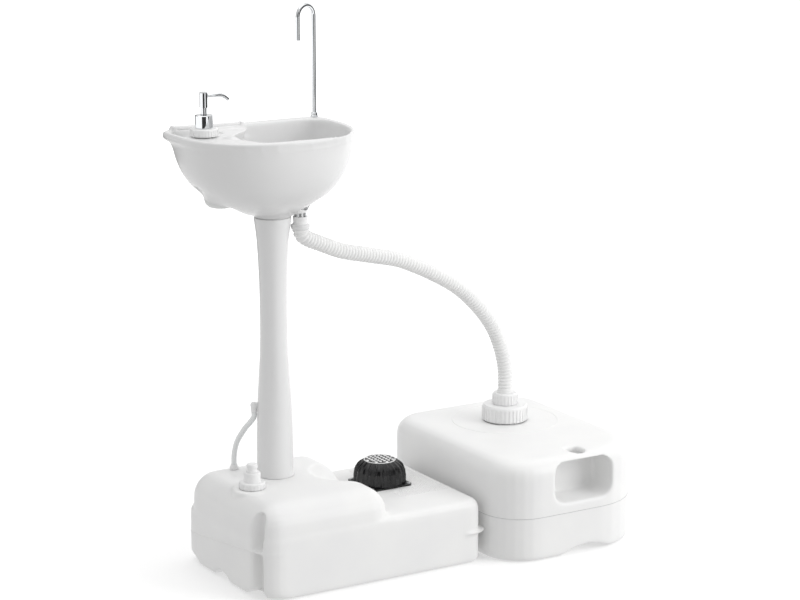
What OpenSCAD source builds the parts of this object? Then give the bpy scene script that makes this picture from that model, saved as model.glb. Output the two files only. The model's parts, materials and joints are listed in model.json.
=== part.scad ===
// Portable wash stand for camping. A fresh water tank with a foot pump carries a column and a basin,
// and a ribbed hose drains the basin into a separate recovery tank.
// Millimetres, +Z up, +Y to the back. The origin is on the floor, under the middle of the rigid parts.

/* [Fresh water tank] */
// Length of the fresh water tank, left to right
base_len = 462; // [440:2:490]
// Depth of the fresh water tank, front to back
base_depth = 312; // [290:2:340]
// Height of the deck that carries the pump
deck_h = 119; // [110:1:124]
// Height of the raised hood that carries the column
hood_h = 171; // [165:1:185]
// Length of the hood from the left end
hood_len = 270; // [262:1:276]
// Corner radius of the left end, seen from above
base_corner_r = 44; // [36:1:50]
// Corner radius of the right end, seen from above
base_end_r = 24; // [18:1:32]
// Shoulder radius round the top of the hood
hood_shoulder_r = 46; // [34:1:48]
// Depth of the vertical groove in the front left corner
flute_depth = 13.5; // [8:0.5:14.5]
// Wall of the two blow-moulded tanks
tank_wall = 3; // [2.4:0.2:4]

/* [Column] */
// Diameter of the column at its foot and head
column_d = 68; // [62:1:72]
// Diameter of the column at its waist
column_waist_d = 50; // [44:1:56]
// Wall of the hollow column
column_wall = 3.5; // [3:0.5:5]
// Depth of the column's plug in the hood and in the basin
plug_depth = 26; // [20:1:32]

/* [Basin] */
// Height of the basin's rim above the floor
rim_h = 813; // [780:1:860]
// Width of the basin, left to right
basin_w = 333; // [320:1:346]
// Depth of the basin, front to back
basin_depth = 243; // [234:1:252]
// Height of the bowl from its underside to the rim
bowl_h = 160; // [150:1:170]
// Wall of the moulded basin
basin_wall = 4; // [3:0.5:5]
// Height of the lip round the rim
rim_lip_h = 19; // [14:1:24]

/* [Spout] */
// Diameter of the spout's tube
spout_d = 8; // [7:0.5:9]
// Height of the spout above the rim
spout_h = 210; // [190:1:220]
// Width of the spout's bend, centre to centre
spout_bend_w = 42; // [36:1:50]
// Length of the spout's short leg
spout_drop = 66; // [50:1:80]

/* [Soap dispenser] */
// Diameter of the knurled soap cap
soap_cap_d = 51; // [46:1:54]
// Height of the knurled soap cap
soap_cap_h = 16; // [13:1:18]
// Diameter of the chrome collar
collar_d = 32; // [29:1:34]
// Height of the chrome collar
collar_h = 23; // [20:1:25]
// Travel of the dispenser head
soap_travel = 9; // [7:0.5:10]

/* [Foot pump] */
// Diameter of the pump's ribbed dome
dome_d = 96; // [90:1:98]
// Height of the pump above the deck
pump_h = 48; // [44:1:52]
// Side of the pump's square flange
flange_w = 92; // [90:1:96]
// Travel of the tread plate
pump_travel = 22; // [16:1:24]

/* [Filler] */
// Diameter of the filler's screw ring
filler_d = 49; // [44:1:52]
// Pitch of the filler's screw thread
filler_pitch = 4; // [3:0.5:5]

/* [Recovery tank] */
// Length of the recovery tank, left to right
rec_len = 334; // [322:1:346]
// Depth of the recovery tank, front to back
rec_depth = 442; // [430:2:456]
// Height of the recovery tank
rec_h = 190; // [184:1:200]
// Gap between the two tanks
tank_gap = 15; // [10:1:30]
// Diameter of the recovery tank's screw cap
rec_cap_d = 90; // [84:1:94]
// Height of the recovery tank's screw cap
rec_cap_h = 33; // [28:1:36]

/* [Drain] */
// Outer diameter of the ribbed drain hose
hose_d = 29; // [26:1:30]
// Diameter of the hose's union nut
hose_nut_d = 50; // [46:1:52]

/* [Hidden] */
$fn = 64;
arc_steps = 6;

// Places, measured from the column's axis on the floor, before the shift to the origin
base_lo = [-131, -194];
base_hi = base_lo + [base_len, base_depth];
hood_hi_x = base_lo.x + hood_len;
rec_lo = [base_hi.x + tank_gap, -249];
rec_hi = rec_lo + [rec_len, rec_depth];
basin_lo = [-183, -147];
basin_hi = basin_lo + [basin_w, basin_depth];
org_x = (min(base_lo.x, basin_lo.x) + rec_hi.x) / 2;
org_y = (min(rec_lo.y, base_lo.y) + max(rec_hi.y, base_hi.y)) / 2;

filler_at = [-77, -54];
gland_at = [-50, 68];
pump_at = [222, -2];
soap_at = [-125, 18];
bottle_at = [-100, 6];
spout_at = [basin_hi.x - 16, basin_hi.y - 14];
drain_at = [46, -20];
rec_cap_at = [527, 32];

module placed() {
    translate([-org_x, -org_y, 0]) children();
}

// Heights and fits shared between parts
spigot_d = 52;
plug_d = 60;
fit = 0.3;
deck_z = rim_h - 6;
screws_at = [for (x = [-1, 1], y = [-1, 1]) pump_at + (flange_w / 2 - 6.5) * [x, y]];
bowl_floor_z = rim_h - bowl_h + 13;
tube_d = 10;
hose_end_z = rec_h + rec_cap_h + 27;
hose_start_z = rim_h - bowl_h - 17;

// Outline helpers --------------------------------------------------------------------------------

// Points of an arc about c from angle a to angle b
function arc(c, r, a, b, n) = [for (i = [0 : n]) let (t = a + (b - a) * i / n) c + r * [cos(t), sin(t)]];

// Rounded rectangle, counter-clockwise from the front left corner; r and n list the four corners
function round_rect(lo, hi, r, n) = concat(
    arc([lo.x + r[0], lo.y + r[0]], r[0], 180, 270, n[0]),
    arc([hi.x - r[1], lo.y + r[1]], r[1], 270, 360, n[1]),
    arc([hi.x - r[2], hi.y - r[2]], r[2], 0, 90, n[2]),
    arc([lo.x + r[3], hi.y - r[3]], r[3], 90, 180, n[3]));

function at_z(points, z) = [for (p = points) [p.x, p.y, z]];
function middle(points) = [for (k = [0 : 2]) let (v = [for (p = points) p[k]]) (min(v) + max(v)) / 2];
function unit(v) = v / norm(v);

// How far a rounded edge of radius r has moved in at distance d from the face it runs into
function edge_in(d, r) = d >= r ? 0 : r - sqrt(max(0, r * r - (r - d) * (r - d)));

// Solid through a stack of outlines with the same number of points; top_z sets the middle of the last cap
module loft(rings, top_z) {
    n = len(rings[0]);
    m = len(rings);
    c = middle(rings[m - 1]);
    points = concat([middle(rings[0])], [for (ring = rings) each ring], [[c.x, c.y, is_undef(top_z) ? c.z : top_z]]);
    top = 1 + n * m;
    sides = [for (j = [0 : m - 2], i = [0 : n - 1]) let (a = 1 + j * n + i, b = 1 + j * n + (i + 1) % n)
        [a, a + n, b + n, b]];
    polyhedron(points, concat(
        [for (i = [0 : n - 1]) [0, 1 + i, 1 + (i + 1) % n]],
        sides,
        [for (i = [0 : n - 1]) [top, 1 + (m - 1) * n + (i + 1) % n, 1 + (m - 1) * n + i]]));
}

// Axes carried along a route without twisting
function carried(t, v, i) = i >= len(t) ? [] :
    let (w = unit(v - (v * t[i]) * t[i])) concat([w], carried(t, w, i + 1));

// Flexible tube along a route
module cord(route, d, sides, first) {
    m = len(route);
    t = [for (i = [0 : m - 1]) unit(route[min(i + 1, m - 1)] - route[max(i - 1, 0)])];
    v = carried(t, first, 0);
    loft([for (i = [0 : m - 1]) [for (k = [0 : sides - 1]) let (a = 360 * k / sides)
        route[i] + d / 2 * (cos(a) * v[i] + sin(a) * cross(t[i], v[i]))]]);
}

// Straight round bar between two points
module bar(a, b, d) {
    v = b - a;
    translate(a) rotate([0, acos(v.z / norm(v)), atan2(v.y, v.x)]) cylinder(d = d, h = norm(v));
}

module disc(at, z, d, h) {
    translate([at.x, at.y, z]) cylinder(d = d, h = h);
}

module ring(at, z, outer, inner, h) {
    translate([at.x, at.y, z]) difference() {
        cylinder(d = outer, h = h);
        translate([0, 0, -1]) cylinder(d = inner, h = h + 2);
    }
}

// Turned part about an upright axis, from [radius, height] points
module turned(at, points) {
    translate([at.x, at.y, 0]) rotate_extrude() polygon(points);
}

// Coil spring standing on an upright axis
module coil(at, z, d, wire, h, turns) {
    steps = 14 * turns;
    cord([for (i = [0 : steps]) [at.x + d / 2 * cos(i * 360 / 14), at.y + d / 2 * sin(i * 360 / 14),
        z + wire / 2 + (h - wire) * i / steps]], wire, 6, [0, 0, 1]);
}

// Fresh water tank -------------------------------------------------------------------------------

base_radii = [base_corner_r, base_end_r, base_end_r, base_corner_r - 6];
base_steps = [arc_steps, 4, 4, arc_steps];
flute_at = base_lo + [base_corner_r, base_corner_r] + base_corner_r * [cos(196), sin(196)];

// The upper edge sags along the left end
function end_dip(p) = min(1, max(0, (base_lo.x + 36 - p.x) / 26)) * max(0, 20 - 10 * pow((p.y + 5) / 125, 2));
function dipped(points, h) = [for (p = points) [p.x, p.y, h - (h > 60 ? end_dip(p) : 0)]];
function end_points(x) = [[x, 35], [x, -25], [x, -90]];

module lower_body() {
    z = [0, 1.5, 4.5, 9, 15, 22, deck_h - 22, deck_h - 10, deck_h - 6, deck_h - 2.5, deck_h];
    loft([for (h = z) let (
        s = edge_in(h, 9) + edge_in(deck_h - h, 10),
        r = [for (i = [0 : 3]) max(base_radii[i] - s, 3) + (i == 0 ? 1.6 * edge_in(h, 22) : 0)])
        dipped(concat(round_rect(base_lo + [s, s], base_hi - [s, s], r, base_steps), end_points(base_lo.x + s)), h)],
        deck_h);
}

// Arches between the feet along the left end: place along y, height, radius, reach from the left
arches = [[-148, 13, 38, 32], [-30, 14.5, 46, 90], [96, 18, 50, 90]];

module foot_arches(d) {
    for (a = arches) translate([base_lo.x - 1, a[0], a[1] - a[2]]) rotate([0, 90, 0]) cylinder(r = a[2] + d, h = a[3] + d);
}

module hood_body(inset, top, radii, steps, r, n) {
    lo = base_lo + [inset, inset];
    hi = [hood_hi_x + 2 - inset, base_hi.y - inset];
    foot = deck_h - 36;
    z = concat([foot], [for (i = [0 : n]) top - r * (1 - sin(90 * i / n))]);
    loft([for (h = z) let (s = edge_in(top - h, r))
        at_z(round_rect(lo + [s, s], hi - [s, s], [for (c = radii) max(c - s, 3)], steps), h)]);
}

// Dished clearance beside the hood's shoulder
module scoop() {
    translate([base_hi.x - 206, -42, hood_h + 18]) sphere(70);
}

module base_cavity() {
    w = tank_wall;
    lo = base_lo + [w, w];
    hi = base_hi - [w, w];
    r = [80, 22, 22, 42];
    z = [w, w + 9, deck_h - 24, deck_h - w];
    difference() {
        union() {
            loft([for (h = z) let (s = edge_in(h - w, 9) + 1)
                dipped(concat(round_rect(lo + [s, s], hi - [s, s], r, [3, 2, 2, 2]), end_points(lo.x + s)), h)],
                deck_h - w);
            hood_body(w + 5, hood_h - w, [78, 42, 42, 40], [3, 2, 2, 2], hood_shoulder_r - 4, 3);
        }
        translate([base_hi.x - 206, -42, hood_h + 18]) sphere(70 + w);
        disc([0, 0], hood_h - plug_depth - 4, plug_d + 8, 60);
        disc(filler_at, hood_h - 14, 46, 40);
        disc(gland_at, hood_h - 12, 18, 40);
        foot_arches(tank_wall);
        ring(pump_at, deck_h - 9, 84, 60, 20);
        for (at = screws_at) disc(at, deck_h - 9, 11, 20);
    }
}

module base_tank() {
    color("white") placed() difference() {
        union() {
            difference() {
                union() {
                    lower_body();
                    hood_body(2, hood_h, [base_corner_r - 1, 40, 40, base_corner_r + 5], base_steps, hood_shoulder_r, 6);
                    disc(filler_at, hood_h - 26, 74, 26.8);
                }
                translate([flute_at.x, flute_at.y, -1]) cylinder(r = flute_depth, h = hood_h + 2);
            }
            disc(base_lo + [base_corner_r, base_corner_r], 86, 2 * base_corner_r + 2, 2.4);
            disc([base_hi.x - 20, base_lo.y + 26], 57, 60 + 2 * min(4, tank_gap - 11), 2.4);
        }
        base_cavity();
        scoop();
        disc([0, 0], hood_h - plug_depth, plug_d + 2 * fit, 60);
        disc(filler_at, hood_h - 30, 37, 60);
        disc(gland_at, hood_h - 30, 12, 60);
        disc(pump_at, deck_h - 30, 66, 60);
        for (at = screws_at) disc(at, deck_h - 4, 4.6, 10);
        foot_arches(0);
    }
}

// Filler ------------------------------------------------------------------------------------------

neck_top_z = hood_h + 9;

module filler_neck() {
    bore = filler_d / 2 - 8.5;
    out = filler_d / 2 - 4.5;
    color("gainsboro") placed() turned(filler_at, [[bore, hood_h - 14], [18.5, hood_h - 14],
        [18.5, hood_h + 0.8], [out - 1, hood_h + 0.8], [out - 1, hood_h + 3], [out, hood_h + 3.7],
        [out - 1, hood_h + 4.4], [out - 1, hood_h + 6], [out, hood_h + 6.7], [out - 1, hood_h + 7.4],
        [out - 1, neck_top_z], [bore, neck_top_z]]);
}

module filler_gasket() {
    color("dimgray") placed() ring(filler_at, neck_top_z, filler_d - 9.6, filler_d - 16.6, 1.6);
}

module filler_cap() {
    z = hood_h + 1.2;
    roof = neck_top_z + 1.6;
    color("white") placed() {
        turned(filler_at, [[filler_d / 2 - 4.1, z], [filler_d / 2 - 1, z], [filler_d / 2 - 1, roof + 1],
            [filler_d / 2 - 2.5, roof + 2.4], [15.5, roof + 2.4], [15.5, roof + 18], [14, roof + 20],
            [10.5, roof + 20], [10.5, roof + 16], [4, roof + 16], [4, roof], [filler_d / 2 - 4.1, roof]]);
        for (i = [0 : 23]) translate(filler_at) rotate(i * 15)
            translate([filler_d / 2 - 1.4, -1, z + 0.5]) cube([1.4, 2, 8]);
    }
}

module filler_nub() {
    z = neck_top_z + 1.6 + 16;
    color("white") placed() turned(filler_at, [[0, z], [10.2, z], [10.2, z + 6], [9, z + 7.5], [9, z + 11],
        [10.2, z + 12.5], [10.2, z + 17], [8.5, z + 19.4], [0, z + 19.4]]);
}

// Column and water tubes --------------------------------------------------------------------------

gland_top_z = hood_h + 9;
grommet_z = 303;
grommet_dir = [-0.88, 0.475];

module tube_gland() {
    color("gainsboro") placed() {
        difference() {
            union() {
                disc(gland_at, hood_h - 12, 12, 14);
                disc(gland_at, hood_h, 17, 5);
                disc(gland_at, hood_h + 4.8, 13, 4.2);
            }
            disc(gland_at, hood_h - 13, 6, 40);
        }
    }
}

column_h = rim_h - bowl_h - hood_h;
column_shape = [[0, 1], [0.06, 0.995], [0.13, 0.95], [0.2, 0.86], [0.27, 0.76], [0.33, 0.6], [0.37, 0.46],
    [0.42, 0.28], [0.475, 0.12], [0.54, 0.02], [0.6, 0], [0.68, 0], [0.76, 0.08], [0.84, 0.25], [0.91, 0.46],
    [0.945, 0.66], [0.975, 0.86], [0.99, 0.97], [1, 1]];
function column_r(w) = column_waist_d / 2 + w * (column_d - column_waist_d) / 2;

module column() {
    head = hood_h + column_h;
    outer = [for (p = column_shape) [column_r(p[1]), hood_h + p[0] * column_h]];
    inner = [for (i = [len(column_shape) - 4 : -1 : 1]) let (p = column_shape[i])
        [column_r(p[1]) - column_wall, hood_h + p[0] * column_h]];
    color("white") placed() difference() {
        turned([0, 0], concat([[plug_d / 2 - 3.5, hood_h - plug_depth + 1], [plug_d / 2, hood_h - plug_depth + 1],
            [plug_d / 2, hood_h]], outer,
            [[spigot_d / 2 + fit, head], [spigot_d / 2 + fit, head - plug_depth], [column_r(0.66) - column_wall,
            head - plug_depth]], inner, [[plug_d / 2 - 3.5, hood_h]]));
        translate([0, 0, grommet_z]) rotate([0, 90, atan2(grommet_dir.y, grommet_dir.x)]) cylinder(d = 10, h = 60);
        translate([0, 0, riser_exit_z]) rotate([-90, 0, 0]) cylinder(d = 14, h = 60);
    }
}

riser_exit_z = hood_h + column_h - 43;

module tube_grommet() {
    elbow = [grommet_dir.x * 38, grommet_dir.y * 38, grommet_z];
    inside = [grommet_dir.x * 20, grommet_dir.y * 20, grommet_z];
    color("gainsboro") placed() {
        bar(inside, elbow, 9.4);
        translate(elbow) sphere(d = 13);
        bar(elbow - [0, 0, 12], elbow, 11.4);
        bar([grommet_dir.x * 32.6, grommet_dir.y * 32.6, grommet_z], elbow, 11.4);
    }
}

supply_route = [[-50, 68, gland_top_z], [-50, 68, 190], [-50, 67, 199], [-49, 64, 213], [-47, 59, 227],
    [-44, 49, 242], [-40, 38, 257], [-36, 26, 270], [-33.44, 18.05, 281], [-33.44, 18.05, 291]];

module supply_tube() {
    color("whitesmoke") placed() cord(supply_route, tube_d, 10, [1, 0, 0]);
}

riser_route = [[-17.6, 9.5, grommet_z], [-12, 6.48, grommet_z], [-5, 2.7, 306], [-1.2, 0.7, 314], [0, 0, 325],
    [0, 0, 400], [0, 0, 480], [0, 0, 560], [0, 1, 575], [0, 5, 588], [0, 12, 599], [0, 22, 607], [0, 33, 612],
    [3, 44, 617], [9, 53, 624], [18, 60, 634], [30, 66, 647], [44, 71, 663], [60, 76, 681], [76, 81, 700],
    [92, 85, 720], [107, 87, 739], [120, 86, 753], [130, 83.5, 763], [134, 82, 771], [134, 82, 778]];

module riser_tube() {
    color("whitesmoke") placed() cord(riser_route, 9, 8, [0, 1, 0.1]);
}

// Basin --------------------------------------------------------------------------------------------

function power(v, p) = sign(v) * pow(abs(v), p);

// Outline with a round front and a straight back about centre c
function d_shape(c, half_w, front, back, pf, pb, n) = [for (i = [0 : n - 1]) let (t = 360 * (i + 0.5) / n,
    p = sin(t) < 0 ? pf : pb)
    [c.x + half_w * power(cos(t), 2 / p), c.y + (sin(t) < 0 ? front : back) * power(sin(t), 2 / p)]];

basin_c = [(basin_lo.x + basin_hi.x) / 2, 10];
skin_c = basin_c + [3.5, 0];
skin_w = basin_w / 2 - 3.5;
bowl_lo = [-85, basin_lo.y + 15];
bowl_hi = [basin_hi.x - 17, basin_hi.y - 24];
bowl_c = [(bowl_lo.x + bowl_hi.x) / 2, 3];
side_z = rim_h - 14;
skin_h = bowl_h - 18;
basin_n = 36;

function skin_at(s) = skin_c * s + [-11, 0] * (1 - s);
function skin_ring(s, z) = at_z(d_shape(skin_at(s), skin_w * s, (10 - basin_lo.y) * s,
    (basin_hi.y - 26) * s + 14 * (1 - s), 2.2, 2.2 + 2.8 * s, basin_n), z);
function lip_ring(inset, z) = at_z(d_shape(basin_c, basin_w / 2 - inset, 10 - basin_lo.y - inset,
    basin_hi.y - 10 - inset, 2.2, 7, basin_n), z);
function bowl_ring(s, z) = at_z(d_shape([20, -12] * (1 - s) + bowl_c * s, (bowl_hi.x - bowl_lo.x) / 2 * s,
    (3 - bowl_lo.y) * s, (bowl_hi.y - 3) * s + 10 * (1 - s), 2.3, 2.3 + 2.2 * s, basin_n), z);

function mixed(a, b, w) = [for (i = [0 : len(a) - 1]) a[i] * (1 - w) + b[i] * w];

module basin_body() {
    low = rim_h - bowl_h;
    lip_z = rim_h - rim_lip_h;
    loft(concat(
        [for (u = [0.98, 0.93, 0.84, 0.72, 0.58, 0.42, 0.22]) skin_ring(sqrt(1 - u * u), side_z - skin_h * u)],
        [skin_ring(1, lip_z), mixed(skin_ring(1, lip_z + 3), lip_ring(0, lip_z + 3), 0.35),
            lip_ring(1, lip_z + 7), lip_ring(0, rim_h - 6), lip_ring(0.6, rim_h - 2), lip_ring(4, rim_h)],
        [bowl_ring(1.025, rim_h), bowl_ring(1, rim_h - 3)],
        [for (t = [12, 28, 44, 58, 70, 80]) bowl_ring(cos(t), rim_h - 8 - (rim_h - 8 - bowl_floor_z - 2) * sin(t) / sin(80))]));
}

// Hollow between the outer skin and the bowl
module basin_void() {
    w = basin_wall + 1;
    n = 18;
    low = rim_h - bowl_h;
    difference() {
        loft(concat([for (u = [0.9, 0.74, 0.5, 0.24]) let (s = sqrt(1 - u * u))
            at_z(d_shape(skin_at(s), skin_w * s - w, (10 - basin_lo.y) * s - w,
                (basin_hi.y - 26) * s + 14 * (1 - s) - w, 2.2, 2.2 + 2.8 * s, n), side_z - skin_h * u)],
            [at_z(d_shape(skin_c, skin_w - w, 10 - basin_lo.y - w, basin_hi.y - 26 - w, 2.2, 5, n), deck_z - w)]));
        loft(concat([for (t = [80, 60, 40, 20]) let (s = cos(t))
            at_z(d_shape([20, -12] * (1 - s) + bowl_c * s, (bowl_hi.x - bowl_lo.x) / 2 * s + w + 1,
                (3 - bowl_lo.y) * s + w + 1, (bowl_hi.y - 3) * s + 10 * (1 - s) + w + 1, 2.3, 2.3 + 2.2 * s, n),
                rim_h - 8 - w - (rim_h - 8 - bowl_floor_z - 2) * sin(t) / sin(80))],
            [at_z(d_shape(bowl_c, (bowl_hi.x - bowl_lo.x) / 2 + w + 1, 3 - bowl_lo.y + w + 1,
                bowl_hi.y - 3 + w + 1, 2.3, 4.5, n), rim_h + 5)]));
        disc(bottle_at, low, 70, bowl_h);
        disc(soap_at, low, 40, bowl_h);
        disc(drain_at, low, 42, 40);
        translate([-170, 36, rim_h - 22]) cube([68, 40, 30]);
    }
}

module basin() {
    low = rim_h - bowl_h;
    color("white") placed() difference() {
        union() {
            basin_body();
            disc([0, 0], low - plug_depth + 1, spigot_d, plug_depth + 4);
            disc([0, 0], low, column_d, 16);
            disc(drain_at, low, 34, 20);
            translate([-160, 72, rim_h - 4]) cube([9, 14, 12]);
            translate([-24, 73, rim_h - 4]) cube([10, 13, 8]);
        }
        basin_void();
        intersection() {
            translate([0, 0, deck_z]) linear_extrude(20) polygon(d_shape(basin_c, basin_w / 2 - 10,
                10 - basin_lo.y - 15.5, 60, 2.2, 8, 32));
            translate([-200, -200, deck_z - 1]) cube([230, 400, 20]);
        }
        translate([-166, 40, rim_h - 18]) cube([60, 31, 30]);
        bar([-157, 79, rim_h + 2.4], [-18, 79, rim_h - 1], 9.6);
        disc([0, 0], low - plug_depth, spigot_d - 7, plug_depth - 2);
        disc(bottle_at, low, 62, bowl_h - 19);
        disc(soap_at, low, 33, bowl_h + 10);
        disc(drain_at, bowl_floor_z, 31, 12);
        disc(drain_at, low - 10, 22.6, 30);
        disc(spout_at, rim_h - 40, 8.6, 60);
    }
}

module towel_bar() {
    color("white") placed() {
        bar([-157, 79, rim_h + 2.4], [-18, 79, rim_h - 1], 9);
    }
}

// Soap dispenser -----------------------------------------------------------------------------------

module soap_bottle() {
    z = rim_h - 133;
    top = rim_h - 21;
    color("whitesmoke") placed() difference() {
        union() {
            turned(bottle_at, [[0, z], [17, z], [23, z + 2], [28, z + 7], [30, z + 14], [30, top - 4], [26, top],
                [0, top]]);
            disc(soap_at, top - 52, 32, deck_z - top + 64);
        }
        turned(bottle_at, [[0, z + 2], [16, z + 2], [22, z + 4], [26, z + 8], [28, z + 15], [28, top - 5],
            [25, top - 2], [0, top - 2]]);
        disc(soap_at, top - 50, 28, 100);
    }
}

module soap_cap() {
    r = soap_cap_d / 2;
    z = deck_z + 2.2;
    top = deck_z + soap_cap_h;
    color("white") placed() {
        turned(soap_at, [[16.3, z], [r - 1, z], [r - 1, top - 2], [r - 3, top], [14, top], [14, top - 3.6],
            [16.3, top - 3.6]]);
        for (i = [0 : 29]) translate(soap_at) rotate(i * 12) translate([r - 1.4, -0.9, z + 0.8])
            cube([1.4, 1.8, top - z - 3.6]);
    }
}

collar_z = deck_z + soap_cap_h;
collar_top = collar_z + collar_h;

module dispenser_collar() {
    r = collar_d / 2;
    color("silver") placed() turned(soap_at, [[3.4, collar_z - 8], [13.8, collar_z - 8], [13.8, collar_z],
        [r, collar_z], [r, collar_top - 1], [r - 1, collar_top], [5.8, collar_top], [5.8, collar_top - 3],
        [9, collar_top - 3], [9, collar_z - 6], [3.4, collar_z - 6]]);
}

module dispenser_stem() {
    color("silver") placed() turned(soap_at, [[1.5, collar_top - 7], [8.4, collar_top - 7], [8.4, collar_top - 3.4],
        [5.5, collar_top - 3.4], [5.5, collar_top + 13], [1.5, collar_top + 13]]);
}

module dispenser_head() {
    z = collar_top + 13;
    nozzle = [[3, 0, 19.5], [18, 0, 20], [31, 0, 20], [36, 0, 19], [40, 0, 17], [44, 0, 14.2], [48, 0, 11]];
    color("silver") placed() {
        turned(soap_at, [[0, z], [7.5, z], [7.5, z + 26], [6.5, z + 27.5], [0, z + 27.5]]);
        translate([soap_at.x, soap_at.y, z]) cord(nozzle, 5.2, 12, [0, 1, 0]);
    }
}

module dispenser_spring() {
    color("gray") placed() coil(soap_at, collar_z - 6, 14, 1.4, collar_top - collar_z - 1, 5);
}

module dip_tube() {
    top = [soap_at.x, soap_at.y, collar_z - 8.2];
    foot = [bottle_at.x - 8, bottle_at.y + 4, rim_h - 126];
    along = (top - foot) / norm(top - foot);
    color("whitesmoke") placed() difference() {
        bar(foot, top, 6);
        bar(foot - along, top + along, 4);
    }
}

// Spout --------------------------------------------------------------------------------------------

bend_dir = atan2(-0.3, -0.954);

module spout() {
    r = spout_bend_w / 2;
    top = rim_h + spout_h - spout_d / 2 - r;
    color("silver") placed() translate([spout_at.x, spout_at.y, 0]) rotate(bend_dir) difference() {
        union() {
            translate([0, 0, rim_h - 35]) cylinder(d = spout_d, h = top - rim_h + 35);
            translate([r, 0, top]) rotate([90, 0, 0]) rotate_extrude(angle = 180) translate([r, 0]) circle(d = spout_d);
            translate([2 * r, 0, top - spout_drop + r + spout_d / 2]) cylinder(d = spout_d, h = spout_drop - r - spout_d / 2);
        }
        translate([2 * r, 0, top - spout_drop]) cylinder(d = spout_d - 2.4, h = spout_drop - 6);
    }
}

module spout_nut() {
    color("silver") placed() turned(spout_at, [[4.05, rim_h], [7.2, rim_h], [7.2, rim_h + 1.6], [6, rim_h + 2.4],
        [6, rim_h + 7], [5, rim_h + 8], [4.05, rim_h + 8]]);
}

module spout_backnut() {
    z = rim_h - rim_lip_h - 7;
    color("silver") placed() difference() {
        union() {
            translate([spout_at.x, spout_at.y, z]) cylinder(d = 16, h = 5, $fn = 6);
            disc(spout_at, z + 5, 17, 2);
        }
        disc(spout_at, z - 1, 8.1, 20);
    }
}

// Drain --------------------------------------------------------------------------------------------

module drain_strainer() {
    z = bowl_floor_z + 1.6;
    color("silver") placed() difference() {
        union() {
            disc(drain_at, z, 27, 1.4);
            disc(drain_at, z - 8, 17.4, 8);
        }
        disc(drain_at, z - 9, 15, 9);
        for (i = [0 : 7]) translate(drain_at) rotate(i * 45) translate([5.4, 0, z - 1]) cylinder(d = 2.6, h = 4);
        disc(drain_at, z - 1, 3, 4);
    }
}

module drain_tail() {
    z = bowl_floor_z;
    color("silver") placed() turned(drain_at, [[8.8, hose_start_z + 2], [11, hose_start_z + 2], [11, z], [15, z],
        [15, z + 1.6], [8.8, z + 1.6]]);
}

module drain_nut() {
    z = rim_h - bowl_h - 5;
    color("white") placed() ring(drain_at, z, 27, 22.1, 5);
}

module hose_cuff_top() {
    color("white") placed() turned(drain_at, [[11.05, hose_start_z + 2], [11.05, hose_start_z + 12],
        [12.4, hose_start_z + 12], [13, hose_start_z + 11], [13, hose_start_z], [8, hose_start_z],
        [8, hose_start_z + 2]]);
}

hose_points = [[46, hose_start_z], [46, hose_start_z - 7], [50, 618], [60, 610.5], [72, 604.5], [90, 597], [108, 589],
    [125, 581.5], [143, 575.5], [161, 570.5], [180, 566], [198, 561.5], [216, 557], [235, 552.5], [253, 548],
    [272, 542], [290, 534.5], [309, 526], [328, 517], [347, 507], [366, 497], [386, 485.5], [405, 473],
    [424, 458.5], [441, 443], [456, 428.5], [471, 412], [485, 394.5], [497, 376.5], [506, 359], [513, 342],
    [519, 325], [523, 308], [526, 291], [527, 274], [527, hose_end_z]];
hose_route = [for (p = hose_points) [p[0], -20 + (p[0] - 46) * 52 / 481, p[1]]];

module drain_hose() {
    color("white") placed() cord(hose_route, hose_d - 1.5, 12, [0, 1, 0]);
}

module hose_cuff_bottom() {
    z = hose_end_z;
    color("white") placed() turned(rec_cap_at, [[9, z - 22], [15.8, z - 22], [15.8, z - 1], [15, z], [9, z]]);
}

// Foot pump ----------------------------------------------------------------------------------------

module pump_flange() {
    w = flange_w / 2;
    color("black") placed() difference() {
        translate([pump_at.x, pump_at.y, deck_h]) linear_extrude(3) polygon(round_rect([-w, -w], [w, w],
            [9, 9, 9, 9], [4, 4, 4, 4]));
        disc(pump_at, deck_h - 1, 60, 6);
        for (at = screws_at) disc(at, deck_h - 1, 4.6, 6);
    }
}

module pump_screws() {
    color("silver") placed() for (at = screws_at) difference() {
        turned(at, [[0, deck_h - 3], [2, deck_h - 3], [2, deck_h + 3], [3.8, deck_h + 3], [3.2, deck_h + 4.8],
            [0, deck_h + 5.4]]);
        translate([at.x, at.y, deck_h + 4.4]) {
            translate([-2.4, -0.4, 0]) cube([4.8, 0.8, 2]);
            translate([-0.4, -2.4, 0]) cube([0.8, 4.8, 2]);
        }
    }
}

dome_z = deck_h + 3;
tread_z = deck_h + pump_h - 8;
dome_r = dome_d / 2 - 2;

module pump_bellows() {
    h = tread_z - dome_z;
    out = [[1, 0], [1, 0.1], [0.985, 0.3], [1, 0.44], [0.97, 0.56], [0.9, 0.72], [0.8, 0.86], [0.66, 1]];
    skin = [for (p = out) [dome_r * p[0], dome_z + h * p[1]]];
    back = [for (i = [len(out) - 1 : -1 : 0]) [dome_r * out[i][0] - 3, dome_z + h * min(out[i][1], 0.95)]];
    rib = [for (p = out) [dome_r * p[0] + 2, h * p[1]]];
    color("black") placed() {
        turned(pump_at, concat(skin, [[24, tread_z], [24, tread_z - 2.4]], [for (i = [1 : len(back) - 1]) back[i]]));
        for (i = [0 : 23]) translate([pump_at.x, pump_at.y, dome_z]) rotate(i * 15) rotate([90, 0, 0])
            translate([0, 0, -1.2]) linear_extrude(2.4) polygon(concat(rib,
                [for (i = [len(out) - 1 : -1 : 0]) [dome_r * out[i][0] - 1.5, h * out[i][1]]]));
    }
}

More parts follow.
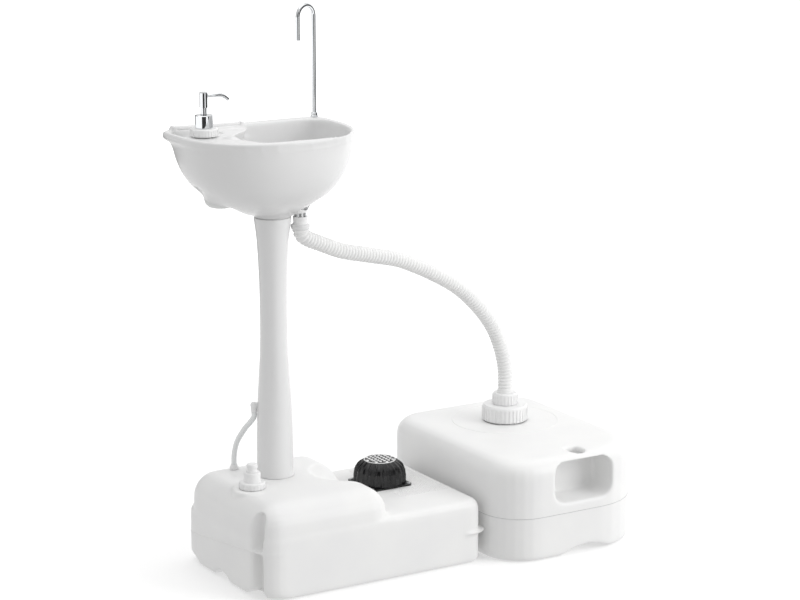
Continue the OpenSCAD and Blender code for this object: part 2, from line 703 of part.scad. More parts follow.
module pump_tread() {
    top = deck_h + pump_h;
    color("black") placed() {
        turned(pump_at, [[0, tread_z - 1.5], [23.5, tread_z - 1.5], [23.5, tread_z + 0.1], [30, tread_z + 0.1], [30, top - 3],
            [27.5, top - 1], [0, top - 1]]);
        for (r = [[4.6, 6], [10.4, 12], [16.2, 18], [22, 24]]) for (i = [0 : r[1] - 1])
            disc(pump_at + r[0] * [cos(i * 360 / r[1]), sin(i * 360 / r[1])], top - 1.5, 2.8, 1.5);
        disc(pump_at, top - 1.5, 2.8, 1.5);
    }
}

module pump_spring() {
    color("gray") placed() coil(pump_at, deck_h - 18, 40, 2.6, tread_z - 1.6 - deck_h + 18, 6);
}

module pump_body() {
    z = deck_h - 48;
    color("dimgray") placed() difference() {
        turned(pump_at, [[0, z], [28, z], [31, z + 3], [31, deck_h - 0.4], [29.6, deck_h - 0.4], [29.6, deck_h + 2.8],
            [26.8, deck_h + 2.8], [26.8, deck_h - 18], [0, deck_h - 18]]);
        disc(pump_at + [10, 0], z - 1, 6, 60);
        disc(pump_at + [-12, 0], z + 11, 8, 60);
        bar([pump_at.x - 12, pump_at.y, z + 15], [pump_at.x - 24, pump_at.y, z + 15], 6);
        bar([pump_at.x - 20, pump_at.y, z + 15], [pump_at.x - 50, pump_at.y, z + 15], 12);
        disc(pump_at + [10, 0], z + 18, 18, 60);
    }
}

module inlet_valve() {
    color("darkorange") placed() disc(pump_at + [10, 0], deck_h - 30, 15, 1.6);
}

module outlet_valve() {
    z = deck_h - 33;
    color("darkorange") placed() difference() {
        bar([pump_at.x - 20.2, pump_at.y, z], [pump_at.x - 30.8, pump_at.y, z], 11.6);
        bar([pump_at.x - 22, pump_at.y, z], [pump_at.x - 40, pump_at.y, z], 7);
        translate([pump_at.x - 23, pump_at.y - 3, z - 0.3]) cube([6, 6, 0.6]);
    }
}

outlet_route = [[pump_at.x - 30.8, pump_at.y, deck_h - 33], [pump_at.x - 37, pump_at.y, deck_h - 33], [176, 0, 84], [160, 6, 80], [130, 20, 78], [95, 36, 78], [60, 50, 79],
    [25, 60, 81], [-5, 66, 85], [-30, 69, 92], [-44, 69, 103], [-49.5, 68, 118], [-50, 68, 135], [-50, 68, hood_h - 12]];

module outlet_tube() {
    color("whitesmoke") placed() cord(outlet_route, 8, 8, [0, 0, 1]);
}

module intake_strainer() {
    z = tank_wall + 3;
    at = pump_at + [10, 0];
    color("dimgray") placed() difference() {
        union() {
            disc(at, z, 30, 12);
            disc(at, z + 12, 9, deck_h - 48 - z - 12);
        }
        disc(at, z + 2, 5, deck_h);
        for (i = [0 : 7]) translate([at.x, at.y, z + 6]) rotate([0, 90, i * 45]) cylinder(d = 4, h = 20);
    }
}

// Recovery tank ------------------------------------------------------------------------------------

rec_radii = [78, 120, 60, 72];
rec_steps = [7, 7, 5, 5];
grip_lo = [rec_lo.x + 110, rec_lo.y - 30, 103];
grip_hi = [rec_lo.x + 240, rec_lo.y + 68, rec_h - 11];

module rec_body(inset, low, top, steps, foot_r, head_r, nf, nh) {
    lo = rec_lo + [inset, inset];
    hi = rec_hi - [inset, inset];
    z = concat([for (i = [0 : nf]) low + foot_r * (1 - cos(90 * i / nf))],
        [for (i = [0 : nh]) top - head_r * (1 - sin(90 * i / nh))]);
    loft([for (h = z) let (s = edge_in(h - low, foot_r) + edge_in(top - h, head_r))
        at_z(round_rect(lo + [s, s], hi - [s, s], [for (c = rec_radii) max(c - inset - s, 3)], steps), h)]);
}

// Rounded recess for the carrying hand, larger by d
module grip(d) {
    lo = grip_lo - [d, 0, d];
    hi = grip_hi + [d, d, d];
    translate([0, hi.y, 0]) rotate([90, 0, 0]) linear_extrude(hi.y - lo.y) polygon(grip_shape(d));
}

function grip_shape(d) = round_rect([grip_lo.x - d, grip_lo.z - d], [grip_hi.x + d, grip_hi.z + d],
    [24 + d, 24 + d, 20 + d, 20 + d], [4, 4, 4, 4]);

// Rounded mouth of the recess
module grip_mouth(r) {
    loft([for (a = [90, 70, 50, 25, -20]) [for (p = grip_shape(r * (1 - sin(a))))
        [p.x, a < 0 ? rec_lo.y - 2 : rec_lo.y + r * (1 - cos(a)), p.y]]]);
}

// Seam line round the recovery tank
module seam_groove() {
    z = 84;
    difference() {
        translate([rec_lo.x - 10, rec_lo.y - 10, z]) cube([rec_len + 20, rec_depth + 20, 1.2]);
        translate([0, 0, z - 1]) linear_extrude(4) polygon(round_rect(rec_lo + [0.7, 0.7], rec_hi - [0.7, 0.7],
            rec_radii, rec_steps));
    }
}

// Finger slot from the top face down into the recess
module finger_slot(d) {
    lo = [grip_lo.x + 57, rec_lo.y + 26] - [d, d];
    hi = [grip_lo.x + 86, rec_lo.y + 62] + [d, d];
    translate([0, 0, grip_hi.z - 12]) linear_extrude(60) polygon(round_rect(lo, hi, [8, 8, 8, 8] + d * [1, 1, 1, 1],
        [3, 3, 3, 3]));
}

module recovery_tank() {
    w = tank_wall;
    color("white") placed() {
        difference() {
            union() {
                rec_body(0, 0, rec_h, rec_steps, 9, 32, 3, 5);
                disc(rec_cap_at, rec_h - 5, 214, 5.6);
            }
            difference() {
                rec_body(w, w, rec_h - w, [3, 3, 2, 2], 10, 28, 1, 3);
                grip(w);
                finger_slot(w);
                disc(rec_cap_at, rec_h - 14, 86, 40);
                translate([rec_lo.x + 182, rec_lo.y - 1, -106]) rotate([-90, 0, 0]) cylinder(r = 123, h = 60);
            }
            grip(0);
            grip_mouth(5);
            seam_groove();
            finger_slot(0);
            disc(rec_cap_at, rec_h - 20, 74, 60);
            translate([rec_lo.x + 182, rec_lo.y - 1, -106]) rotate([-90, 0, 0]) cylinder(r = 120, h = 50);
        }
    }
}

rec_neck_top = rec_h + 26;

module recovery_neck() {
    color("gainsboro") placed() turned(rec_cap_at, [[33, rec_h - 13], [37, rec_h - 13], [37, rec_h + 0.6],
        [38.6, rec_h + 0.6], [38.6, rec_h + 6], [40, rec_h + 7], [38.6, rec_h + 8], [38.6, rec_h + 12],
        [40, rec_h + 13], [38.6, rec_h + 14], [38.6, rec_h + 18], [40, rec_h + 19], [38.6, rec_h + 20],
        [38.6, rec_neck_top], [33, rec_neck_top]]);
}

module recovery_gasket() {
    color("dimgray") placed() ring(rec_cap_at, rec_neck_top, 79, 68, 2);
}

module recovery_cap() {
    r = rec_cap_d / 2;
    z = rec_h + 3;
    top = rec_h + rec_cap_h;
    color("white") placed() {
        turned(rec_cap_at, [[40.4, z], [r - 1.2, z], [r - 1.2, top - 4], [r - 4, top], [20, top], [20, top + 12],
            [16, top + 12], [16, rec_neck_top + 2], [40.4, rec_neck_top + 2]]);
        for (i = [0 : 35]) translate(rec_cap_at) rotate(i * 10) translate([r - 1.8, -1.4, z + 1])
            cube([1.8, 2.8, top - z - 6]);
    }
}

module hose_nut() {
    r = hose_nut_d / 2;
    z = rec_h + rec_cap_h + 0.6;
    color("white") placed() {
        turned(rec_cap_at, [[20.4, z], [r - 1, z], [r - 1, z + 19], [r - 3, z + 22], [16, z + 22],
            [16, z + 17], [20.4, z + 17]]);
        for (i = [0 : 23]) translate(rec_cap_at) rotate(i * 15) translate([r - 1.5, -1.2, z + 1]) cube([1.5, 2.4, 17]);
    }
}

base_tank();
filler_neck();
filler_gasket();
filler_cap();
filler_nub();
tube_gland();
column();
tube_grommet();
riser_tube();
supply_tube();
basin();
towel_bar();
soap_bottle();
soap_cap();
dispenser_collar();
dispenser_stem();
dispenser_head();
dispenser_spring();
dip_tube();
spout();
spout_nut();
spout_backnut();
drain_strainer();
drain_tail();
drain_nut();
hose_cuff_top();
drain_hose();
hose_cuff_bottom();
pump_flange();
pump_screws();
pump_bellows();
pump_tread();
pump_spring();
pump_body();
inlet_valve();
outlet_valve();
outlet_tube();
intake_strainer();
recovery_tank();
recovery_neck();
recovery_gasket();
recovery_cap();
hose_nut();
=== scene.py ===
# %% [markdown]
# # A camp wash stand, dressed for its picture
# The stand is two blow-moulded tanks, a column, a basin, a foot pump and a drain hose. Its solids
# come from a CAD source and already have the right sizes, so this lesson only gives them their
# looks: smooth skins, a ribbed hose, grip nubs, honest plastics and metals, and studio light.

import json
import math

import bmesh
import bpy
import numpy as np
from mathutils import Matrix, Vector
from mathutils.bvhtree import BVHTree


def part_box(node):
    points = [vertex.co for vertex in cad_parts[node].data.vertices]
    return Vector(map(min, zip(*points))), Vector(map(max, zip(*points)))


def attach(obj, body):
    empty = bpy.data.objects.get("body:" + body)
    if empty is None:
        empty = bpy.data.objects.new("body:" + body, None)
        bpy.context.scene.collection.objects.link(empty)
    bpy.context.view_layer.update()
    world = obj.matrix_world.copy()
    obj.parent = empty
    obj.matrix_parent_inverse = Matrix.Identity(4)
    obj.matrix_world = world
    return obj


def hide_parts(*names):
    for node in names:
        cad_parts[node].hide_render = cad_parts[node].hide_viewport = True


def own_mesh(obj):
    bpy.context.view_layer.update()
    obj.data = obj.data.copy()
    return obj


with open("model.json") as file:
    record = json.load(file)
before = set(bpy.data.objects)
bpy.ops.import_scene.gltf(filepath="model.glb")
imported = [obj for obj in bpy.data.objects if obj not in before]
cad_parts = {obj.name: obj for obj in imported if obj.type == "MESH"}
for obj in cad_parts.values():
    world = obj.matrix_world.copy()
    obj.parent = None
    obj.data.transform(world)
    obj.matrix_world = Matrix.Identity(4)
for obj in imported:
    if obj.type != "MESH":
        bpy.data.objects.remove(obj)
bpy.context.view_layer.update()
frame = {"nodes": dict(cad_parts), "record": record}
body_of_node = {n: b for b, ns in frame["record"]["behaviour"]["bodies"].items() for n in ns}
slot_of_node = {s["node"]: s["material_slot"] for s in frame["record"]["subparts"]}

# %% [markdown]
# ## Places
# The source measures from the column's own axis, in millimetres. One helper turns those numbers
# into Blender's metres, so the routes and patterns below can use the source's round numbers.
# Another spreads directions evenly round a circle, for everything here that is round.

# %% Places
MM = 0.001
COLUMN_AXIS = Vector((-248.5, 28.0, 0.0))


def place(x, y, z):
    """A point of the source, in millimetres from the column's axis, as metres in the frame."""
    return (Vector((x, y, z)) + COLUMN_AXIS) * MM


def round_about(count):
    """Even directions round a circle, in radians."""
    return np.arange(count) * 2 * math.pi / count


# the middles of three things that several pieces share, seen from above
DRAIN_AT, WASTE_CAP_AT, PUMP_AT = (46, -20), (527, 32), (222, -2)
print("the pump stands at", [round(v, 4) for v in place(*PUMP_AT, 0)])

# %% [markdown]
# ## The camera
# The photograph was taken from the left of the front, a little above the tanks, with a long lens,
# so upright edges stay nearly parallel. A 114.75 mm lens on a 36 mm sensor gives that view.

# %% Camera
VIEW_AZIMUTH, VIEW_ELEVATION = math.radians(-31.3), math.radians(13.16)
CAMERA_AT, LENS_MM, SENSOR_MM = (-2.3875, -3.9309, 1.5504), 114.75, 36.0


def in_scene(name, data):
    """A new object made of this data, at the origin, in the scene."""
    thing = bpy.data.objects.new(name, data)
    bpy.context.scene.collection.objects.link(thing)
    return thing


towards_camera = Vector((
    math.sin(VIEW_AZIMUTH) * math.cos(VIEW_ELEVATION),
    -math.cos(VIEW_AZIMUTH) * math.cos(VIEW_ELEVATION),
    math.sin(VIEW_ELEVATION),
))
lens = bpy.data.cameras.new("photo_camera")
lens.lens, lens.sensor_width = LENS_MM, SENSOR_MM
camera = in_scene("photo_camera", lens)
camera.location = CAMERA_AT
camera.rotation_euler = towards_camera.to_track_quat("Z", "Y").to_euler()
bpy.context.scene.camera = camera
bpy.context.scene.view_settings.view_transform = "Standard"
print("camera", [round(v, 3) for v in camera.location])

# %% [markdown]
# ## One helper for nodes, one for colours
# Geometry trees and materials are both made of nodes. `add` makes a node, sets its settings and
# joins its inputs. Colours are written as the hex values that a screen shows, and `linear` turns
# them into the light values that the renderer needs.

# %% Node and colour helpers


def add(tree, kind, inputs=None, **settings):
    """Adds a node. Each input takes a value or another node's output."""
    node = tree.nodes.new(kind)
    for name, value in settings.items():
        setattr(node, name, value)
    for key, value in (inputs or {}).items():
        if isinstance(value, bpy.types.NodeSocket):
            tree.links.new(value, node.inputs[key])
        else:
            node.inputs[key].default_value = value
    return node


def linear(hex_colour):
    """A screen colour such as #EDEDEB as linear RGBA."""
    parts = [int(hex_colour[i : i + 2], 16) / 255 for i in (1, 3, 5)]
    return [c / 12.92 if c <= 0.04045 else ((c + 0.055) / 1.055) ** 2.4 for c in parts] + [1.0]


print("a middle grey as light", [round(c, 3) for c in linear("#808080")])

# %% [markdown]
# ## Moulded plastics
# Nearly everything here is moulded plastic, and what tells one from another is its skin. A
# blow-moulded tank copies a sand-blasted mould, so it is satin and slightly uneven; an
# injection-moulded basin or cap copies a polished one. A flat colour would look like card, so each
# material mixes two close colours with a wide noise for the uneven cooling, and gives the skin a
# fine bump. The grain sizes are real millimetres; grain too fine to show is drawn about a
# millimetre wide.

# %% Plastics
BUMP_STRENGTH, PLASTIC_IOR = 0.35, 1.5
# the noise seldom leaves its middle, so the two colours already meet it there
SHADE_BELOW, COLOUR_ABOVE = 0.15, 0.85


def new_material(name):
    """A material with its node tree and its shader."""
    material = bpy.data.materials.new(name)
    material.use_nodes = True
    return material, material.node_tree, material.node_tree.nodes["Principled BSDF"]


def moulded(name, colour, shade, roughness, grain_mm, grain_depth_mm, patch_mm=90,
            rough_spread=0.06):
    """A moulded skin: two close colours in wide patches, a fine grain, and uneven gloss."""
    material, tree, shader = new_material(name)
    where = add(tree, "ShaderNodeTexCoord")
    patches = add(tree, "ShaderNodeTexNoise", {
        "Vector": where.outputs["Object"], "Scale": 1 / (patch_mm * MM),
        "Detail": 3.0, "Roughness": 0.55})
    tint = add(tree, "ShaderNodeValToRGB", {"Fac": patches.outputs["Fac"]})
    tint.color_ramp.interpolation = "EASE"
    dark_end, light_end = tint.color_ramp.elements
    dark_end.position, light_end.position = SHADE_BELOW, COLOUR_ABOVE
    dark_end.color, light_end.color = linear(shade), linear(colour)
    gloss = add(tree, "ShaderNodeMapRange", {
        "Value": patches.outputs["Fac"],
        "To Min": roughness - rough_spread, "To Max": roughness + rough_spread})
    grain = add(tree, "ShaderNodeTexNoise", {
        "Vector": where.outputs["Object"], "Scale": 1 / (grain_mm * MM),
        "Detail": 2.0, "Roughness": 0.5})
    bump = add(tree, "ShaderNodeBump", {
        "Height": grain.outputs["Fac"], "Strength": BUMP_STRENGTH,
        "Distance": grain_depth_mm * MM})
    tree.links.new(tint.outputs["Color"], shader.inputs["Base Color"])
    tree.links.new(gloss.outputs["Result"], shader.inputs["Roughness"])
    tree.links.new(bump.outputs["Normal"], shader.inputs["Normal"])
    shader.inputs["IOR"].default_value = PLASTIC_IOR
    return material


# name, colour, shade, roughness, grain width and depth in mm, patch width in mm, gloss spread
# satin: wide soft highlights over a faint sand-blasted grain
tank_skin = moulded("blow_moulded_satin_polyethylene", "#EFEFEE", "#EAEAEA", 0.40, 1.6, 0.10)
# polished: tighter highlights, in which narrow patches would look like stains
basin_skin = moulded("injection_moulded_glossy_polypropylene", "#E3E3E3", "#E2E2E2", 0.26, 2.5,
                     0.03, 400, 0.02)
# a shade whiter than the tanks, so that caps and nuts stand out on them
cap_skin = moulded("injection_moulded_satin_polypropylene", "#F0F0F0", "#EBEBEB", 0.36, 1.2, 0.05,
                   30)
# soft and waxy: each crest of the hose catches a small dull light
hose_skin = moulded("blow_moulded_soft_polyethylene_hose", "#F0F0EF", "#EBEBEB", 0.38, 1.2, 0.04,
                    60)
# near black, with a thin sheen along the edges
black_skin = moulded("injection_moulded_black_abs", "#1B1B1C", "#141415", 0.32, 0.9, 0.05, 20)
# new rubber: as dark, but glossier, so that each rib has a bright line
bellows_skin = moulded("black_epdm_rubber_bellows", "#1A1A1B", "#101011", 0.22, 1.0, 0.05, 12, 0.08)
# painted shadow: greyer and duller than the tank, standing for the shade in the seam's groove, so
# that the seam reads as a line
seam_painted_shadow_skin = moulded("tank_seam_painted_with_its_shadow", "#CBCBCC", "#C3C3C4", 0.5, 1.2, 0.03, 30)
# painted highlight: bright and glossy, near white for the sky reflected in black rubber, so the
# tread shows white dots and a white rim
painted_highlight_skin = moulded("grip_nubs_painted_white_as_highlights", "#F2F2F2", "#E6E6E6", 0.22, 0.8, 0.03, 8)
# a plain machine grey, inside the tank
pump_skin = moulded("injection_moulded_grey_acetal", "#6E7072", "#626466", 0.38, 1.0, 0.04, 25)
# unpigmented: a little cloudier than the basin that it hangs from
bottle_skin = moulded("blow_moulded_natural_polyethylene", "#E2E3E2", "#DCDDDC", 0.38, 1.4, 0.06,
                      40)
# matt: a thin dark line under each cap
seal_skin = moulded("black_epdm_gasket", "#222222", "#1A1A1A", 0.6, 0.8, 0.05, 10)
# the usual orange-brown of silicone valves
valve_skin = moulded("silicone_valve_rubber", "#C9743A", "#B96630", 0.5, 0.8, 0.04, 10)
# cloudy within and glossy outside, which the coat gives
tube_skin = moulded("clear_pvc_tubing", "#EEF0F0", "#E6E8E8", 0.22, 1.5, 0.03, 40)
tube_skin.node_tree.nodes["Principled BSDF"].inputs["Coat Weight"].default_value = 0.4
print("plastics", len(bpy.data.materials))

# %% [markdown]
# ## Metals
# The spout and the soap pump are chrome plated: a mirror with faint polishing smears. The screws
# and springs are stainless and plain spring steel, duller and finely drawn along their length. One
# noise can do all three, because only its size, its stretch and the gloss it sets differ.

# %% Metals


def metal(name, colour, roughness, smear_mm, smear, stretch=(1, 1, 1)):
    """A bare or plated metal whose gloss varies with a stretched noise."""
    material, tree, shader = new_material(name)
    where = add(tree, "ShaderNodeTexCoord")
    along = add(tree, "ShaderNodeMapping", {"Vector": where.outputs["Object"], "Scale": stretch})
    noise = add(tree, "ShaderNodeTexNoise", {
        "Vector": along.outputs["Vector"], "Scale": 1 / (smear_mm * MM), "Detail": 4.0})
    gloss = add(tree, "ShaderNodeMapRange", {
        "Value": noise.outputs["Fac"], "To Min": roughness, "To Max": roughness + smear})
    bump = add(tree, "ShaderNodeBump", {
        "Height": noise.outputs["Fac"], "Strength": 0.05, "Distance": 0.02 * MM})
    tree.links.new(gloss.outputs["Result"], shader.inputs["Roughness"])
    tree.links.new(bump.outputs["Normal"], shader.inputs["Normal"])
    shader.inputs["Base Color"].default_value = linear(colour)
    shader.inputs["Metallic"].default_value = 1.0
    return material


# name, colour, roughness, smear width in mm, how much duller the smears are, stretch
# a mirror: it shows the room, faintly clouded by polishing
chrome = metal("bright_chrome_plate", "#DFE1E3", 0.035, 18, 0.05)
# duller: one soft spot of light on each screw
stainless = metal("stainless_steel_screws", "#C9CACB", 0.22, 3, 0.12)
# drawn: its lights are short streaks
spring_steel = metal("drawn_spring_steel", "#A9ABAD", 0.30, 4, 0.15, (1, 1, 6))
print("metals", chrome.name, stainless.name, spring_steel.name)

finish_of_slot = {
    "tank_plastic": tank_skin, "basin_plastic": basin_skin, "cap_plastic": cap_skin,
    "black_plastic": black_skin, "bellows_rubber": bellows_skin, "chrome": chrome,
    "stainless": stainless, "spring_steel": spring_steel, "tubing": tube_skin,
    "hose_plastic": hose_skin, "bottle_plastic": bottle_skin, "seal_rubber": seal_skin,
    "valve_rubber": valve_skin, "pump_plastic": pump_skin,
}

# %% [markdown]
# ## Trees that make meshes
# Three geometry trees follow: one sweeps tubes, one lays fine beads, one sets out grip nubs. All
# begin with named inputs and end in the same way, smooth, real and with a finish, so that is
# written once. A tree could stay on its object as a live modifier, but what rides on a moving body
# has to be a plain mesh, so `made_by` runs the tree and keeps only its result.

# %% Tree helpers


def new_tree(name, **kinds):
    """An empty geometry tree and its inputs, each named with the kind of its socket."""
    tree = bpy.data.node_groups.new(name, "GeometryNodeTree")
    tree.interface.new_socket("Geometry", in_out="OUTPUT", socket_type="NodeSocketGeometry")
    for label, kind in kinds.items():
        tree.interface.new_socket(label, in_out="INPUT", socket_type="NodeSocket" + kind)
    return tree, add(tree, "NodeGroupInput").outputs


def close_tree(tree, made, finish):
    """Ends a tree: what it made becomes smooth, then real, and takes its finish."""
    smooth = add(tree, "GeometryNodeSetShadeSmooth", {"Geometry": made})
    whole = add(tree, "GeometryNodeRealizeInstances", {"Geometry": smooth.outputs[0]})
    done = add(tree, "GeometryNodeSetMaterial", {"Geometry": whole.outputs[0], "Material": finish})
    add(tree, "NodeGroupOutput", {"Geometry": done.outputs[0]})
    print(tree.name, "has", len(tree.nodes), "nodes")
    return tree


def made_by(tree, data, name, **values):
    """Runs a tree on a curve or mesh and returns its result as a plain mesh at the origin."""
    host = in_scene(name + "_host", data)
    modifier = host.modifiers.new("make", "NODES")
    modifier.node_group = tree
    identifiers = {s.name: s.identifier for s in tree.interface.items_tree
                   if s.item_type == "SOCKET" and s.in_out == "INPUT"}
    for key, value in values.items():
        modifier[identifiers[key]] = value
    graph = bpy.context.evaluated_depsgraph_get()
    mesh = bpy.data.meshes.new_from_object(host.evaluated_get(graph), depsgraph=graph)
    bpy.data.objects.remove(host)
    return in_scene(name, mesh)


def stand_in(piece, node):
    """The piece stands for the node: it rides on its body, and the node is hidden."""
    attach(piece, body_of_node[node])
    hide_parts(node)
    return piece


# %% [markdown]
# ## Hose and tubes
# The drain hose is a corrugated one, so it bends without kinking: rounded crests with narrow
# grooves between them, one every 7 mm. The smaller tubes are plain. The hose could be a row of
# rings, but one tree makes all four as closed skins: it walks along the route in small steps, lets
# the radius rise and fall with the distance walked, and sweeps a circle through it. A plain tube is
# the same tree with no groove.

# %% The sweeping tree


def sweep_tree():
    """Sweeps a circle along a curve, with grooves of a given pitch and depth."""
    tree, given = new_tree("ribbed_tube", Route="Geometry", Radius="Float", Pitch="Float",
                           Groove="Float", Step="Float", Finish="Material")
    walked = add(tree, "GeometryNodeResampleCurve",
                 {"Curve": given["Route"], "Length": given["Step"]}, mode="LENGTH")
    # a wave along the route; its root makes the crests broad and the grooves narrow
    along = add(tree, "GeometryNodeSplineParameter").outputs["Length"]
    turns = add(tree, "ShaderNodeMath", {0: along, 1: given["Pitch"]}, operation="DIVIDE")
    angle = add(tree, "ShaderNodeMath", {0: turns.outputs[0], 1: 2 * math.pi},
                operation="MULTIPLY")
    wave = add(tree, "ShaderNodeMath", {0: angle.outputs[0]}, operation="COSINE")
    crest = add(tree, "ShaderNodeMath", {0: wave.outputs[0], 1: 0.5, 2: 0.5},
                operation="MULTIPLY_ADD")
    broad = add(tree, "ShaderNodeMath", {0: crest.outputs[0], 1: 0.5}, operation="POWER")
    sunk = add(tree, "ShaderNodeMath", {0: 1.0, 1: broad.outputs[0]}, operation="SUBTRACT")
    depth = add(tree, "ShaderNodeMath", {0: sunk.outputs[0], 1: given["Groove"]},
                operation="MULTIPLY")
    radius = add(tree, "ShaderNodeMath", {0: given["Radius"], 1: depth.outputs[0]},
                 operation="SUBTRACT")
    # the skin: a circle of radius 1, scaled by the wave at each step
    circle = add(tree, "GeometryNodeCurvePrimitiveCircle", {"Resolution": 28, "Radius": 1.0})
    swept = add(tree, "GeometryNodeCurveToMesh", {
        "Curve": walked.outputs[0], "Profile Curve": circle.outputs["Curve"],
        "Scale": radius.outputs[0], "Fill Caps": True})
    return close_tree(tree, swept.outputs[0], given["Finish"])


def smooth_route(points, steps=6):
    """A smooth line through the route's points (a Catmull-Rom curve)."""
    p = np.array(points, float)
    p = np.vstack([2 * p[0] - p[1], p, 2 * p[-1] - p[-2]])
    line = []
    for i in range(1, len(p) - 2):
        for t in np.arange(steps) / steps:
            line.append(0.5 * (2 * p[i] + (p[i + 1] - p[i - 1]) * t
                        + (2 * p[i - 1] - 5 * p[i] + 4 * p[i + 1] - p[i + 2]) * t**2
                        + (3 * p[i] - p[i - 1] - 3 * p[i + 1] + p[i + 2]) * t**3))
    line.append(p[-2])
    return np.array(line)


def poly_curve(name, line):
    """A curve of straight pieces through the points of a line."""
    curve = bpy.data.curves.new(name, "CURVE")
    curve.dimensions = "3D"
    spline = curve.splines.new("POLY")
    spline.points.add(len(line) - 1)
    spline.points.foreach_set("co", np.hstack([line, np.ones((len(line), 1))]).ravel())
    return curve


# %% [markdown]
# ## Routes
# The hose and the supply tube follow the curves that the photograph shows, and the other two take
# the way that water has to go inside. These are the source's own points, so each swept tube lies
# where its solid does, and its length is the real one.

# %% Routes, in the source's millimetres
HOSE_XZ = [
    (46, 636), (46, 629), (50, 618), (60, 610.5), (72, 604.5), (90, 597), (108, 589), (125, 581.5),
    (143, 575.5), (161, 570.5), (180, 566), (198, 561.5), (216, 557), (235, 552.5), (253, 548),
    (272, 542), (290, 534.5), (309, 526), (328, 517), (347, 507), (366, 497), (386, 485.5),
    (405, 473), (424, 458.5), (441, 443), (456, 428.5), (471, 412), (485, 394.5), (497, 376.5),
    (506, 359), (513, 342), (519, 325), (523, 308), (526, 291), (527, 274), (527, 250),
]
# the hose hangs in one upright plane, from the basin's drain to the waste tank's cap
hose_run, hose_drift = WASTE_CAP_AT[0] - DRAIN_AT[0], WASTE_CAP_AT[1] - DRAIN_AT[1]
ROUTES = {
    "drain_hose": [(x, DRAIN_AT[1] + (x - DRAIN_AT[0]) * hose_drift / hose_run, z)
                   for x, z in HOSE_XZ],
    "supply_tube": [
        (-50, 68, 180), (-50, 68, 190), (-50, 67, 199), (-49, 64, 213), (-47, 59, 227),
        (-44, 49, 242), (-40, 38, 257), (-36, 26, 270), (-33.44, 18.05, 281), (-33.44, 18.05, 291),
    ],
    "riser_tube": [
        (-17.6, 9.5, 303), (-12, 6.48, 303), (-5, 2.7, 306), (-1.2, 0.7, 314), (0, 0, 325),
        (0, 0, 400), (0, 0, 480), (0, 0, 560), (0, 1, 575), (0, 5, 588), (0, 12, 599), (0, 22, 607),
        (0, 33, 612), (3, 44, 617), (9, 53, 624), (18, 60, 634), (30, 66, 647), (44, 71, 663),
        (60, 76, 681), (76, 81, 700), (92, 85, 720), (107, 87, 739), (120, 86, 753),
        (130, 83.5, 763), (134, 82, 771), (134, 82, 778),
    ],
    "outlet_tube": [
        (191.2, -2, 86), (185, -2, 86), (176, 0, 84), (160, 6, 80), (130, 20, 78), (95, 36, 78),
        (60, 50, 79), (25, 60, 81), (-5, 66, 85), (-30, 69, 92), (-44, 69, 103), (-49.5, 68, 118),
        (-50, 68, 135), (-50, 68, 159),
    ],
}
print("routes", {name: len(route) for name, route in ROUTES.items()})

# %% Hose and tubes
# diameter, groove pitch, groove depth, step along the route, all in mm; stiffness and lay
TUBE_SIZES = {
    "drain_hose": (29.6, 7.0, 2.4, 0.7, "medium", "hanging"),
    "supply_tube": (10.0, 50.0, 0.0, 3.0, "medium", "hanging"),
    "riser_tube": (9.0, 50.0, 0.0, 5.0, "medium", "taut"),
    "outlet_tube": (8.0, 50.0, 0.0, 4.0, "medium", "loose"),
}
tube_maker = sweep_tree()
for name, route in ROUTES.items():
    diameter, pitch, groove, step, stiffness, lay = TUBE_SIZES[name]
    line = smooth_route([place(*p) for p in route])
    tube = made_by(tube_maker, poly_curve(name + "_route", line), name + "_swept",
                   Radius=diameter * MM / 2, Pitch=pitch * MM, Groove=groove * MM,
                   Step=step * MM, Finish=finish_of_slot[slot_of_node[name]])
    stand_in(tube, name)

# %% [markdown]
# ## Smooth skins for the moulded pieces
# The CAD nodes arrive as loose flat triangles. Making each again by hand would lose their sizes,
# so a copy of each is merged into one skin instead: its small facets are shaded as one round
# surface, and its real edges stay crisp. Weighted normals keep the flats flat.

# %% Skins
# metres: points this near become one, and edges this short go
MERGE_WITHIN, TOO_SMALL = 0.00001, 0.000005
WEIGHT_OF_LARGE_FACES = 50


def merged(node):
    """A CAD node's loose triangles as one connected bmesh."""
    mesh = frame["nodes"][node].data.copy()
    for attribute in ("custom_normal", "sharp_edge", "sharp_face"):
        if attribute in mesh.attributes:
            mesh.attributes.remove(mesh.attributes[attribute])
    work = bmesh.new()
    work.from_mesh(mesh)
    bmesh.ops.remove_doubles(work, verts=work.verts, dist=MERGE_WITHIN)
    bmesh.ops.dissolve_degenerate(work, dist=TOO_SMALL, edges=work.edges)
    return work, mesh


def finished(mesh, finish):
    """Gives a mesh its one finish and smooth shading."""
    mesh.materials.clear()
    mesh.materials.append(finish)
    for face in mesh.polygons:
        face.use_smooth = True


def skin_of(node, finish, crease=38.0):
    """A merged, smooth-shaded copy of a CAD node, with its real edges kept crisp."""
    work, mesh = merged(node)
    for edge in work.edges:
        edge.smooth = (len(edge.link_faces) == 2
                       and edge.calc_face_angle(0) < math.radians(crease))
    work.to_mesh(mesh)
    work.free()
    finished(mesh, finish)
    piece = in_scene(node + "_skin", mesh)
    weigh = piece.modifiers.new("weigh", "WEIGHTED_NORMAL")
    weigh.keep_sharp, weigh.mode = True, "FACE_AREA_WITH_ANGLE"
    weigh.weight = WEIGHT_OF_LARGE_FACES
    return stand_in(piece, node)


# these are cast again or made as rings below
RECAST = {"base_tank", "recovery_tank", "basin"}
MADE_OTHERWISE = set(ROUTES) | {"pump_bellows"} | RECAST
skins = {}
for node in sorted(frame["nodes"]):
    if node not in MADE_OTHERWISE:
        skins[node] = skin_of(node, finish_of_slot[slot_of_node[node]])
print("skins", len(skins), "faces", sum(len(s.data.polygons) for s in skins.values()))

# %% [markdown]
# ## A fuller nozzle
# The photograph shows the soap pump's nozzle a little fuller than its solid is. Scaling the head
# would move it, so the points beyond its middle are moved out along their own normals instead,
# which thickens the nozzle evenly and leaves the rest as it is.

